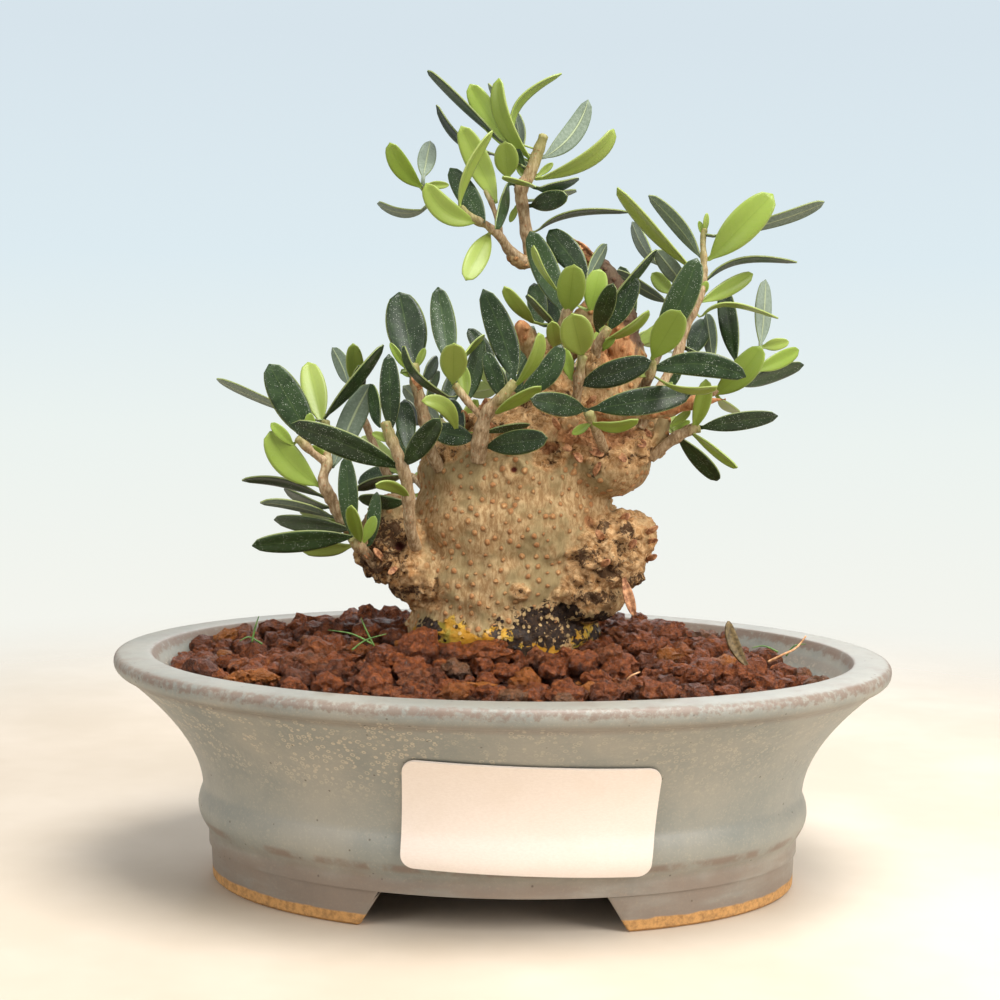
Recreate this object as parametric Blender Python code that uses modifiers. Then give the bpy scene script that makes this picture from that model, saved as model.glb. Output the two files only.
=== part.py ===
# Wild olive bonsai in an oval glazed pot.
# Metres, +Z up, origin under the middle of the pot, with the viewer on the -Y side.

import math
import random

import bmesh
import bpy
import numpy as np
from mathutils import Vector, noise
from mathutils.geometry import delaunay_2d_cdt
from mathutils.kdtree import KDTree

MM = 0.001
GAP = 0.3 * MM  # air between pieces that rest on each other
SEED = 7

# Pot
POT_LENGTH = 160.0 * MM
POT_WIDTH = 126.0 * MM
POT_HEIGHT = 47.0 * MM
POT_SIDES = 40
POT_SKEW = 0.015  # how far the hand-made body leans out to the right below its rim
LIP_WIDTH = 8.05 * MM
RIM_HEIGHT = 4.5 * MM
FLARE = 17.9 * MM  # how far the waist stands in from the rim
WAIST_HEIGHT = 19.2 * MM
BEAD_FOOT = 10.2 * MM
BEAD_SWELL = 1.5 * MM
BASE_INSET = 19.0 * MM
FOOT_HEIGHT = 7.2 * MM
FOOT_WIDTH = 4.6 * MM
FOOT_GAP_TOP = 42.5 * MM  # between the two curved feet, at front and back
FOOT_GAP_BOTTOM = 51.0 * MM
FLOOR_HEIGHT = 12.2 * MM
DRAIN_DIAMETER = 12.0 * MM
DRAIN_SPACING = 48.0 * MM

SCREEN_SIDE = 17.0 * MM
SCREEN_THICKNESS = 0.8 * MM

# Label
LABEL_LEFT = -18.0 * MM
LABEL_RIGHT = 31.0 * MM
LABEL_BOTTOM = 12.4 * MM
LABEL_TOP = 33.2 * MM
LABEL_TILT = 0.04
LABEL_CORNER = 2.6 * MM
LABEL_THICKNESS = 0.4 * MM

# Soil
SOIL_EDGE = 44.8 * MM  # height of the soil along the rim
MOUND_RISE = 6.2 * MM
MOUND_REACH = (40.0 * MM, 30.0 * MM)
MOUND_BACK = 6.0 * MM
CRUMB_SIZE = 6.4 * MM
CRUMB_RISE = 2.9 * MM
CRUMB_SPACING = 3.5 * MM

# Where the trunk stands in the soil
FOOT_HALF = (20.4 * MM, 16.8 * MM)
FOOT_CENTRE = (0.4 * MM, 1.0 * MM)
FOOT_BOTTOM = 35.2 * MM
COLLAR_TOP = 54.2 * MM

# Wood
WOOD_VOXEL = 1.1 * MM
WOOD_FACES = 1320
WOOD_LUMP = 0.7 * MM

# Reference view: the eye that the sight points below are read from
EYE_DISTANCE = 400.0 * MM
EYE_TURN = 0.023
EYE_HEIGHT = 112.7 * MM
EYE_SHIFT = -0.9 * MM
LOOK_DOWN = 0.086
VIEW_ROLL = -0.015
FOCAL_PIXELS = 1949.0
VIEW_MIDDLE = 500.0

# Leaves
BLADE_THICKNESS = 0.62 * MM
STALK_WIDTH = 1.1 * MM
LEAF_CLEARANCE = 1.15 * MM
TYPICAL_LENGTH = {"mature": 17.0 * MM, "grey": 17.0 * MM, "young": 14.5 * MM, "small": 0.0}
SLIMMEST_BLADE = 0.25  # width over length
SETTLE_PASSES = 50
MOST_STRETCH = 1.35  # of a leaf that leans aside for another

# Colours, with their roughness
GLAZE = ((0.30, 0.36, 0.37, 1.0), 0.35)
SCREEN_PLASTIC = ((0.05, 0.05, 0.05, 1.0), 0.6)
PAPER = ((0.90, 0.86, 0.78, 1.0), 0.7)
EARTH = ((0.16, 0.07, 0.045, 1.0), 0.95)
BARK = ((0.40, 0.29, 0.18, 1.0), 0.85)
DARK_LEAF = ((0.05, 0.11, 0.04, 1.0), 0.45)
FRESH_LEAF = ((0.22, 0.32, 0.06, 1.0), 0.45)

# Wood: swellings as a sight point (x, y, depth in mm) and half sizes in mm
SWELLINGS = [
    ((501, 652, 1), (21.6, 18.0, 15.0)),
    ((503, 615, 1), (18.8, 15.4, 13.0)),
    ((508, 575, 1), (19.8, 15.6, 15.0)),
    ((514, 520, 1), (20.8, 16.2, 17.0)),
    ((515, 475, 1), (20.0, 15.4, 12.0)),
    ((545, 440, 1), (18.5, 13.5, 10.0)),
    ((396, 544, -3), (8.8, 8.6, 7.6)),
    ((392, 520, -2), (5.5, 6.5, 5.5)),
    ((424, 568, -1), (8.0, 10.0, 8.0)),
    ((600, 556, -4), (9.6, 10.0, 8.6)),
    ((624, 536, -4), (6.8, 8.0, 5.6)),
    ((584, 590, -3), (8.6, 10.0, 7.0)),
    ((606, 462, -3), (9.4, 10.0, 7.0)),
    ((632, 447, -4), (5.6, 7.0, 4.6)),
    ((590, 410, 0), (9.6, 9.0, 9.0)),
    ((594, 362, -5), (3.2, 3.2, 4.6)),
    ((482, 456, -9), (3.4, 3.2, 4.0)),
    ((530, 540, 14), (15.0, 7.0, 15.0)),
    ((470, 500, 13), (10.0, 7.0, 10.0)),
]

# Wood: limbs as sight points with the radius in mm
LIMBS = [
    [(600, 440, 0, 7.5), (620, 395, 0, 5.4), (624, 338, 0, 3.6), (613, 289, 1, 2.4),
     (595, 262, 2, 1.9), (565, 252, 3, 2.0), (533, 262, 3, 2.1)],
    [(545, 440, -1, 7.0), (545, 395, -2, 5.2), (552, 360, -2, 4.0), (580, 325, -1, 3.2),
     (606, 300, 0, 2.8)],
    [(548, 370, -3, 3.4), (531, 345, -4, 2.4), (519, 322, -5, 1.2)],
    [(600, 400, -3, 5.0), (598, 368, -5, 3.0), (594, 346, -6, 2.2)],
    [(655, 452, -6, 2.6), (661, 430, -7, 1.8), (665, 415, -7, 1.5)],
    [(560, 452, -12, 2.6), (566, 432, -14, 2.0), (572, 410, -15, 1.7)],
    [(645, 395, 1, 3.6), (650, 410, 0, 4.0), (632, 440, -1, 5.0)],
    [(596, 416, -9, 1.9), (660, 410, -11, 1.6), (700, 401, -12, 1.35), (730, 399, -13, 0.5)],
    [(534, 263, 3, 2.0), (520, 261, 2, 1.9), (509, 251, 1, 1.3)],
]

# Leafy stems. Stem points are (x, y, depth in mm). A leaf row is its kind, base, tip, width
# seen in pixels, which way it leans (-1 towards the viewer, 1 away) and, if bent, its middle.
STEMS = {
    "shoot_apex": {
        "thick": (2.7, 2.0),
        "stems": [[(531, 262, 3), (528, 246, 3), (524, 215, 2), (521, 190, 1), (529, 176, 1),
                   (537, 155, 1), (544, 134, 0)]],
        "leaves": [
            ("young", (531, 160), (499, 78), 16, -1, (504, 120)),
            ("young", (520, 158), (470, 84), 23, 1, (490, 118)),
            ("young", (515, 142), (562, 74), 7, 1, (520, 103)),
            ("mature", (505, 146), (427, 71), 8, 1, (456, 95)),
            ("grey", (520, 165), (489, 83), 6, 1, (503, 120)),
            ("grey", (543, 158), (588, 100), 21, 1, (572, 134)),
            ("young", (537, 180), (614, 129), 16, -1, (588, 158)),
            ("mature", (537, 189), (579, 180), 10, 1),
            ("mature", (530, 206), (567, 196), 20, -1),
            ("grey", (533, 200), (576, 191), 6, 1),
            ("mature", (538, 232), (630, 213), 6, 0, (572, 211)),
            ("mature", (509, 182), (496, 229), 10, -1),
            ("young", (536, 188), (503, 177), 5, -1),
            ("small", (508, 178), (505, 142), 24, 0),
            ("grey", (520, 160), (515, 112), 12, 1),
            ("mature", (526, 170), (512, 140), 8, 0),
            ("mature", (495, 155), (436, 105), 8, 1, (458, 138)),
            ("small", (524, 178), (517, 160), 8, 1),
            ("small", (538, 176), (553, 163), 7, 1),
            ("small", (517, 206), (510, 222), 7, 1),
        ],
    },
    "shoot_apex_left": {
        "thick": (2.6, 1.3),
        "stems": [[(526, 262, 2), (510, 251, 1), (500, 237, -1), (488, 226, -3), (474, 219, -5), (460, 207, -7)],
                  [(474, 219, -5), (450, 206, -2), (423, 188, 0)],
                  [(501, 239, -1), (495, 212, 0), (485, 190, 1)]],
        "leaves": [
            ("young", (478, 222), (426, 183), 24, -1, (446, 211)),
            ("mature", (485, 222), (450, 168), 22, 1),
            ("young", (460, 207), (493, 131), 9, -1, (468, 170)),
            ("young", (497, 202), (461, 126), 25, 1),
            ("young", (423, 188), (390, 143), 20, -1, (402, 168)),
            ("grey", (423, 178), (430, 142), 18, 1),
            ("grey", (425, 209), (378, 203), 9, 1, (400, 212)),
            ("small", (426, 185), (449, 185), 8, 1),
            ("young", (490, 232), (466, 280), 23, -1),
            ("small", (496, 226), (504, 217), 6, -1),
        ],
    },
    "shoot_right_top": {
        "thick": (2.3, 1.0),
        "stems": [[(640, 428, -8), (658, 392, -7), (676, 358, -5), (685, 331, -4), (696, 306, -3),
                   (703, 285, -2), (704, 262, -1), (703, 240, 0), (705, 228, 0)]],
        "leaves": [
            ("young", (692, 270), (617, 188), 12, 1, (655, 227)),
            ("grey", (701, 257), (649, 195), 15, 1),
            ("young", (709, 260), (773, 194), 33, -1),
            ("grey", (716, 236), (824, 201), 12, 1, (783, 221)),
            ("small", (705, 232), (707, 213), 6, -1),
            ("small", (704, 236), (699, 221), 6, 1),
            ("mature", (706, 282), (797, 263), 6, 1, (740, 262)),
            ("young", (701, 302), (753, 274), 16, 1),
            ("young", (701, 319), (778, 319), 4, 0, (728, 303)),
            ("mature", (654, 350), (697, 258), 30, -1, (680, 302)),
            ("small", (702, 295), (707, 281), 8, -1),
            ("mature", (689, 357), (706, 319), 21, 1),
            ("grey", (714, 362), (707, 314), 14, 1),
        ],
    },
    "shoot_right_back": {
        "thick": (2.2, 1.2),
        "stems": [[(640, 400, 4), (656, 360, 6), (672, 320, 8), (684, 288, 9), (684, 270, 9)]],
        "leaves": [
            ("grey", (657, 264), (633, 222), 13, 1, (642, 244)),
            ("grey", (688, 290), (656, 250), 19, -1),
            ("grey", (668, 302), (615, 271), 12, 1),
            ("small", (672, 294), (652, 273), 16, 1),
        ],
    },
    "shoot_right_mid": {
        "thick": (2.4, 1.2),
        "stems": [[(652, 402, 0), (680, 396, 2), (712, 392, 3), (738, 378, 3), (761, 350, 2)]],
        "leaves": [
            ("young", (713, 395), (761, 346), 27, -1, (741, 373)),
            ("small", (762, 347), (789, 342), 12, -1),
            ("young", (754, 371), (799, 350), 16, 1),
            ("mature", (740, 386), (804, 365), 15, 1),
            ("grey", (760, 346), (765, 280), 16, 1),
            ("mature", (736, 362), (723, 284), 19, 1),
            ("young", (718, 398), (738, 414), 9, 1),
        ],
    },
    "shoot_right_centre": {
        "thick": (2.6, 1.6),
        "stems": [[(628, 410, -10), (640, 392, -14), (650, 374, -17), (652, 360, -18)]],
        "leaves": [
            ("mature", (651, 370), (746, 377), 25, 0, (700, 364)),
            ("young", (656, 378), (717, 387), 6, -1, (686, 386)),
            ("young", (652, 359), (680, 311), 32, -1),
            ("small", (651, 373), (634, 373), 9, -1),
        ],
    },
    "shoot_right_low": {
        "thick": (2.6, 1.8),
        "stems": [[(650, 458, -8), (672, 440, -9), (690, 430, -10), (700, 427, -10)]],
        "leaves": [
            ("young", (693, 430), (706, 380), 17, -1, (702, 405)),
            ("mature", (700, 428), (778, 416), 18, 0),
            ("mature", (677, 436), (717, 481), 16, 1, (702, 464)),
            ("young", (691, 433), (737, 468), 8, -1),
            ("small", (670, 427), (690, 411), 9, 1),
            ("small", (674, 430), (690, 421), 7, 1),
        ],
    },
    "shoot_front_low": {
        "thick": (2.3, 1.8),
        "stems": [[(606, 456, -9), (601, 442, -14), (595, 428, -17), (588, 411, -20)]],
        "leaves": [
            ("mature", (592, 409), (691, 394), 28, 0),
            ("mature", (586, 410), (531, 399), 24, -1),
            ("young", (591, 423), (638, 420), 11, -1, (613, 428)),
            ("small", (590, 424), (572, 434), 9, 1),
        ],
    },
    "shoot_centre": {
        "thick": (2.4, 1.8),
        "stems": [[(573, 414, -9), (577, 395, -12), (580, 372, -14), (583, 355, -15)]],
        "leaves": [
            ("young", (582, 356), (572, 314), 34, -1),
            ("mature", (580, 385), (651, 361), 27, -1),
            ("young", (571, 380), (564, 348), 13, 0),
        ],
    },
    "shoot_centre_top": {
        "thick": (2.3, 1.5),
        "stems": [[(566, 372, -3), (563, 345, -6), (563, 322, -8), (574, 300, -8), (588, 284, -7)]],
        "leaves": [
            ("young", (568, 314), (574, 265), 29, -1),
            ("young", (590, 312), (600, 269), 23, 0),
            ("grey", (586, 280), (606, 244), 12, 1),
            ("mature", (562, 310), (530, 231), 27, 1),
            ("mature", (588, 278), (549, 230), 27, 1),
            ("young", (558, 292), (533, 246), 6, -1),
            ("mature", (541, 326), (534, 283), 20, 1),
            ("mature", (557, 330), (527, 295), 7, -1),
            ("mature", (560, 330), (546, 297), 16, 1),
            ("young", (534, 324), (504, 287), 14, -1),
            ("young", (557, 350), (552, 322), 16, -1),
        ],
    },
    "shoot_top_mid": {
        "thick": (2.4, 1.4),
        "stems": [[(596, 362, -6), (597, 348, -8), (604, 335, -9), (609, 327, -9)]],
        "leaves": [
            ("mature", (608, 331), (637, 277), 23, 0),
            ("young", (603, 342), (649, 311), 9, -1, (628, 327)),
            ("mature", (596, 331), (613, 284), 20, -1),
            ("mature", (610, 306), (657, 250), 8, 0),
            ("small", (602, 350), (615, 336), 8, -1),
        ],
    },
    "shoot_mid_left": {
        "thick": (3.6, 1.6),
        "stems": [[(478, 462, -13), (480, 440, -14), (484, 420, -15), (492, 406, -16),
                   (504, 395, -17), (515, 381, -17)],
                  [(484, 420, -15), (468, 402, -16), (454, 384, -17)]],
        "leaves": [
            ("mature", (514, 379), (483, 289), 29, 1, (503, 338)),
            ("mature", (518, 393), (561, 344), 24, 0, (546, 374)),
            ("young", (515, 387), (539, 333), 13, -1, (533, 358)),
            ("young", (494, 415), (541, 387), 12, -1),
            ("mature", (503, 400), (486, 352), 18, 0),
            ("mature", (507, 396), (490, 362), 16, 1),
            ("young", (453, 384), (454, 344), 28, -1),
            ("mature", (467, 402), (483, 338), 18, 1, (472, 374)),
            ("young", (460, 362), (485, 336), 5, 1),
            ("mature", (452, 399), (404, 346), 8, -1, (418, 376)),
            ("mature", (450, 366), (438, 287), 25, 1),
            ("mature", (462, 436), (451, 400), 16, 1),
            ("young", (457, 432), (422, 401), 17, -1, (445, 407)),
            ("mature", (474, 439), (431, 430), 23, 0),
            ("mature", (486, 447), (547, 438), 26, -1),
            ("mature", (484, 433), (530, 425), 7, 0),
            ("small", (466, 398), (462, 364), 14, 1),
        ],
    },
    "shoot_left_top": {
        "thick": (2.7, 2.2),
        "stems": [[(440, 470, -8), (428, 444, -10), (425, 422, -11), (420, 400, -12),
                   (415, 378, -12), (413, 363, -12)]],
        "leaves": [
            ("mature", (415, 368), (399, 292), 40, 1),
            ("small", (416, 368), (425, 348), 8, -1),
            ("small", (409, 371), (390, 343), 8, -1),
            ("small", (410, 369), (403, 346), 5, 1),
            ("small", (400, 371), (413, 376), 6, -1),
            ("mature", (423, 380), (438, 358), 12, 1),
            ("mature", (427, 402), (440, 372), 9, 1),
            ("mature", (418, 424), (402, 402), 11, 1),
        ],
    },
    "shoot_left_mid": {
        "thick": (2.8, 2.0),
        "stems": [[(416, 548, -10), (410, 525, -13), (407, 484, -15), (398, 455, -16),
                   (390, 437, -16), (385, 421, -16)]],
        "leaves": [
            ("mature", (400, 468), (291, 424), 26, -1, (345, 443)),
            ("mature", (404, 466), (440, 419), 23, -1),
            ("mature", (391, 432), (389, 354), 21, 0),
            ("mature", (408, 452), (404, 400), 20, 1),
            ("small", (393, 441), (372, 433), 9, -1),
            ("young", (410, 500), (376, 485), 11, -1, (394, 488)),
            ("mature", (402, 476), (357, 491), 10, 1),
            ("mature", (405, 502), (358, 499), 14, 1),
            ("mature", (379, 427), (370, 384), 12, 1),
        ],
    },
    "shoot_left": {
        "thick": (2.9, 1.8),
        "stems": [[(366, 552, -5), (352, 535, -7), (343, 520, -9), (330, 497, -11),
                   (323, 480, -12), (327, 463, -11), (326, 440, -9), (325, 420, -8)],
                  [(327, 463, -11), (312, 452, -12), (297, 437, -13)]],
        "leaves": [
            ("grey", (316, 420), (217, 378), 8, 1, (252, 401)),
            ("mature", (314, 442), (269, 364), 34, 0, (290, 402)),
            ("young", (322, 424), (308, 362), 25, 1),
            ("mature", (325, 418), (384, 345), 12, 0),
            ("young", (320, 486), (270, 431), 31, -1, (289, 462)),
            ("small", (293, 445), (271, 423), 12, -1),
            ("small", (309, 441), (310, 413), 12, -1),
            ("mature", (322, 497), (242, 481), 9, 1, (282, 481)),
            ("mature", (330, 508), (284, 490), 9, 1, (303, 500)),
            ("grey", (333, 517), (260, 502), 9, 0, (296, 506)),
            ("young", (333, 521), (300, 513), 9, 1),
            ("small", (330, 460), (307, 447), 12, 1),
            ("grey", (333, 468), (371, 384), 26, 1, (352, 420)),
        ],
    },
    "shoot_left_back": {
        "thick": (2.3, 1.4),
        "stems": [[(402, 505, 4), (385, 470, 6), (368, 430, 7), (358, 402, 7), (352, 384, 7)]],
        "leaves": [
            ("young", (357, 388), (353, 344), 18, -1),
            ("grey", (349, 384), (333, 348), 15, 1),
            ("mature", (352, 406), (359, 366), 15, -1),
        ],
    },
    "shoot_left_low": {
        "thick": (3.0, 2.0),
        "stems": [[(378, 566, -8), (366, 553, -11), (357, 544, -13), (352, 537, -14)]],
        "leaves": [
            ("mature", (350, 529), (274, 520), 17, 1),
            ("mature", (354, 537), (252, 546), 21, -1, (300, 540)),
            ("young", (352, 546), (303, 552), 14, 1),
            ("young", (360, 544), (351, 506), 14, -1),
            ("small", (364, 542), (375, 516), 12, -1),
            ("mature", (351, 536), (346, 456), 20, 0),
            ("mature", (370, 546), (377, 492), 14, 0),
        ],
    },
}

# Stems on the far side: base, end and how many leaf pairs
FAR_STEMS = [
    ((560, 420, 8), (585, 350, 26), 3),
    ((520, 440, 10), (500, 375, 28), 4),
    ((600, 400, 6), (632, 335, 18), 3),
    ((470, 470, 11), (440, 420, 27), 3),
    ((560, 480, 13), (575, 420, 31), 3),
    ((610, 450, 8), (655, 405, 24), 3),
    ((440, 510, 10), (400, 470, 25), 3),
]
FAR_LEAF_LENGTH = (11.5 * MM, 15.5 * MM)
FAR_LEAF_SHAPE = 0.30
FAR_THICK = (2.3, 1.4)


# Reference view

def eye_place():
    return Vector((math.sin(EYE_TURN) * EYE_DISTANCE, -math.cos(EYE_TURN) * EYE_DISTANCE,
                   EYE_HEIGHT))


def sight(x, y, depth):
    """The point seen at x, y in the 1000 by 1000 view whose Y is depth, in mm."""
    right = Vector((math.cos(EYE_TURN), math.sin(EYE_TURN), 0))
    ahead = Vector((-math.sin(EYE_TURN), math.cos(EYE_TURN), 0))
    across = (x - VIEW_MIDDLE) / FOCAL_PIXELS
    upward = (VIEW_MIDDLE - y) / FOCAL_PIXELS
    side = across * math.cos(VIEW_ROLL) + upward * math.sin(VIEW_ROLL)
    lift = upward * math.cos(VIEW_ROLL) - across * math.sin(VIEW_ROLL)
    height = lift * math.cos(LOOK_DOWN) - math.sin(LOOK_DOWN)
    reach = lift * math.sin(LOOK_DOWN) + math.cos(LOOK_DOWN)
    ray = right * side + ahead * reach + Vector((0, 0, height))
    start = eye_place() + right * EYE_SHIFT
    return start + ray * ((depth * MM - start.y) / ray.y)


# Mesh helpers

def new_object(name, mesh, collection):
    obj = bpy.data.objects.new(name, mesh)
    collection.objects.link(obj)
    return obj


def object_from(name, bm, collection):
    bmesh.ops.recalc_face_normals(bm, faces=bm.faces)
    mesh = bpy.data.meshes.new(name)
    bm.to_mesh(mesh)
    bm.free()
    return new_object(name, mesh, collection)


def finish_modifiers(obj):
    """Puts the object's modifiers into its mesh."""
    bpy.context.view_layer.update()
    graph = bpy.context.evaluated_depsgraph_get()
    mesh = bpy.data.meshes.new_from_object(obj.evaluated_get(graph))
    obj.modifiers.clear()
    old = obj.data
    obj.data = mesh
    bpy.data.meshes.remove(old)
    return obj


def remove(objects):
    for obj in objects:
        mesh = obj.data
        bpy.data.objects.remove(obj)
        bpy.data.meshes.remove(mesh)


def combine(obj, others, operation, solver="EXACT"):
    """One Boolean of the object with a collection of others, which are then removed."""
    helpers = bpy.data.collections.new("helpers")
    bpy.context.scene.collection.children.link(helpers)
    for other in others:
        for holder in list(other.users_collection):
            holder.objects.unlink(other)
        helpers.objects.link(other)
    modifier = obj.modifiers.new("combine", "BOOLEAN")
    modifier.operation = operation
    modifier.operand_type = "COLLECTION"
    modifier.collection = helpers
    modifier.solver = solver
    finish_modifiers(obj)
    remove(others)
    bpy.data.collections.remove(helpers)
    return obj


def keep_largest(obj):
    """Drops loose scraps and fills sealed hollows that a union leaves."""
    bm = bmesh.new()
    bm.from_mesh(obj.data)
    bm.faces.ensure_lookup_table()
    left = set(bm.faces)
    shells = []
    while left:
        queue = [left.pop()]
        shell = list(queue)
        while queue:
            for edge in queue.pop().edges:
                for face in edge.link_faces:
                    if face in left:
                        left.remove(face)
                        queue.append(face)
                        shell.append(face)
        shells.append(shell)
    shells.sort(key=len, reverse=True)
    for shell in shells[1:]:
        bmesh.ops.delete(bm, geom=shell, context="FACES")
    bmesh.ops.delete(bm, geom=[v for v in bm.verts if not v.link_faces], context="VERTS")
    bm.to_mesh(obj.data)
    bm.free()


def colour(obj, name, look):
    material = bpy.data.materials.get(name) or bpy.data.materials.new(name)
    material.use_nodes = True
    shader = material.node_tree.nodes["Principled BSDF"]
    shader.inputs["Base Color"].default_value = look[0]
    shader.inputs["Roughness"].default_value = look[1]
    obj.data.materials.clear()
    obj.data.materials.append(material)


def tube(name, path, radii, sides, collection):
    """A tube along points, with flat ends square to its first and last stretch."""
    bm = bmesh.new()
    rings = []
    for i, point in enumerate(path):
        back = (point - path[i - 1]).normalized() if i else None
        on = (path[i + 1] - point).normalized() if i + 1 < len(path) else None
        along = (back + on).normalized() if back and on else (back or on)
        side = along.orthogonal().normalized() if not rings else (side - along * side.dot(along))
        side = side.normalized()
        up = along.cross(side)
        turn = 2 * math.pi / sides
        ring = [bm.verts.new(point + radii[i] * (side * math.cos(k * turn) + up * math.sin(k * turn)))
                for k in range(sides)]
        rings.append(ring)
    for low, high in zip(rings, rings[1:]):
        for k in range(sides):
            after = (k + 1) % sides
            bm.faces.new((low[k], low[after], high[after], high[k]))
    bm.faces.new(rings[0])
    bm.faces.new(rings[-1])
    return object_from(name, bm, collection)


# Pot

def skew(height):
    return POT_SKEW * (POT_HEIGHT - height)


def oval_point(inset, angle, height):
    return Vector(((POT_LENGTH / 2 - inset) * math.cos(angle) + skew(height),
                   (POT_WIDTH / 2 - inset) * math.sin(angle), height))


def outer_wall(height):
    """Inset of the outside of the wall: a concave flare above the waist, a bead below it."""
    if height >= WAIST_HEIGHT:
        rise = (height - WAIST_HEIGHT) / (POT_HEIGHT - RIM_HEIGHT - WAIST_HEIGHT)
        return FLARE - (FLARE - 2.4 * MM) * min(rise, 1.0) ** 1.8
    down = (WAIST_HEIGHT - height) / (WAIST_HEIGHT - BEAD_FOOT)
    swell = BEAD_SWELL * math.sin(math.pi * min(down, 1.0))
    return FLARE + (BASE_INSET - FLARE) * min(down, 1.0) - swell


def outer_profile():
    """(inset, height) points from the lip down the outside to the underside."""
    rim = [(LIP_WIDTH, POT_HEIGHT - 0.5 * MM), (LIP_WIDTH - 0.6 * MM, POT_HEIGHT),
           (1.3 * MM, POT_HEIGHT), (0.2 * MM, POT_HEIGHT - 1.0 * MM),
           (0.2 * MM, POT_HEIGHT - 2.8 * MM), (1.2 * MM, POT_HEIGHT - 4.0 * MM)]
    heights = [42.5, 38.2, 33.2, 27.7, 22.7, 19.2, 16.8, 14.7, 12.6, 10.2, 7.2]
    return rim + [(outer_wall(height * MM), height * MM) for height in heights]


def inner_profile():
    """(inset, height) points from the floor up the inside to the lip."""
    return [(27.0 * MM, FLOOR_HEIGHT), (24.0 * MM, 18.2 * MM), (18.0 * MM, 32.2 * MM),
            (10.0 * MM, 42.7 * MM)]


def turned_oval(name, profile, collection, closed):
    """A profile of (inset, height) turned round the pot's middle and drawn out to its oval."""
    bm = bmesh.new()
    radius = POT_WIDTH / 2
    verts = [bm.verts.new((radius - inset, 0, height)) for inset, height in profile]
    edges = [bm.edges.new(pair) for pair in zip(verts, verts[1:])]
    if closed:
        edges.append(bm.edges.new((verts[-1], verts[0])))
    bmesh.ops.spin(bm, geom=verts + edges, cent=(0, 0, 0), axis=(0, 0, 1), angle=2 * math.pi,
                   steps=POT_SIDES, use_merge=True)
    bmesh.ops.remove_doubles(bm, verts=bm.verts, dist=0.01 * MM)
    draw = (POT_LENGTH - POT_WIDTH) / 2
    for vert in bm.verts:
        flat = math.hypot(vert.co.x, vert.co.y)
        if flat > 0.1 * MM:
            vert.co.x += draw * vert.co.x / flat
        vert.co.x += skew(vert.co.z)
    return object_from(name, bm, collection)


def make_pot(collection):
    axis = POT_WIDTH / 2
    bowl = [(axis, FLOOR_HEIGHT)] + inner_profile() + outer_profile() + [(axis, FOOT_HEIGHT)]
    pot = turned_oval("pot", bowl, collection, closed=False)
    foot = [(BASE_INSET + 0.4 * MM, FOOT_HEIGHT + 1.2 * MM), (BASE_INSET + 0.7 * MM, 0),
            (BASE_INSET + FOOT_WIDTH, 0), (BASE_INSET + FOOT_WIDTH + 0.4 * MM, FOOT_HEIGHT + 1.2 * MM)]
    ring = turned_oval("foot_ring", foot, collection, closed=True)
    combine(ring, [foot_gap_cutter(collection)], "DIFFERENCE")
    combine(pot, [ring], "UNION")
    drains = []
    for side in (-1, 1):
        bpy.ops.mesh.primitive_cylinder_add(vertices=16, radius=DRAIN_DIAMETER / 2, depth=20 * MM,
                                            location=(side * DRAIN_SPACING / 2, 0, 10 * MM))
        drains.append(bpy.context.object)
    combine(pot, drains, "DIFFERENCE")
    colour(pot, "glaze", GLAZE)
    pot.data.shade_smooth()
    pot.data.set_sharp_from_angle(angle=math.radians(50))
    return pot


def foot_gap_cutter(collection):
    """A bar through front and back whose slanted sides cut the foot ring into two feet."""
    low = -1.0 * MM
    high = FOOT_HEIGHT + 0.4 * MM
    slope = (FOOT_GAP_TOP - FOOT_GAP_BOTTOM) / 2 / FOOT_HEIGHT
    bm = bmesh.new()
    bmesh.ops.create_cube(bm, size=1.0)
    for vert in bm.verts:
        height = high if vert.co.z > 0 else low
        half = FOOT_GAP_BOTTOM / 2 + slope * height
        vert.co = Vector((math.copysign(half, vert.co.x), vert.co.y * POT_WIDTH * 2, height))
    return object_from("foot_gap", bm, collection)


def make_screens(collection):
    """A square of plastic mesh over each drainage hole, under the soil."""
    for side, name in ((-1, "drain_screen_left"), (1, "drain_screen_right")):
        bm = bmesh.new()
        bmesh.ops.create_grid(bm, x_segments=5, y_segments=5, size=SCREEN_SIDE / 2)
        step = SCREEN_SIDE / 5
        open_faces = [face for face in bm.faces
                      if all(abs(abs(part) - step) < step / 4 for part in
                             face.calc_center_median().xy)]
        bmesh.ops.delete(bm, geom=open_faces, context="FACES_ONLY")
        bmesh.ops.translate(bm, verts=bm.verts, vec=(
            side * DRAIN_SPACING / 2, 0, FLOOR_HEIGHT + GAP + SCREEN_THICKNESS))
        screen = object_from(name, bm, collection)
        wall = screen.modifiers.new("thickness", "SOLIDIFY")
        wall.thickness = SCREEN_THICKNESS
        wall.offset = -1
        finish_modifiers(screen)
        colour(screen, "screen_plastic", SCREEN_PLASTIC)


# Label

def wall_front(x, height, proud):
    """The point on the front of the wall at x and height, standing proud of it."""
    inset = outer_wall(height) - proud
    half_length = POT_LENGTH / 2 - inset
    half_width = POT_WIDTH / 2 - inset
    share = (x - skew(height)) / half_length
    return Vector((x, -half_width * math.sqrt(1 - share ** 2), height))


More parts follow.
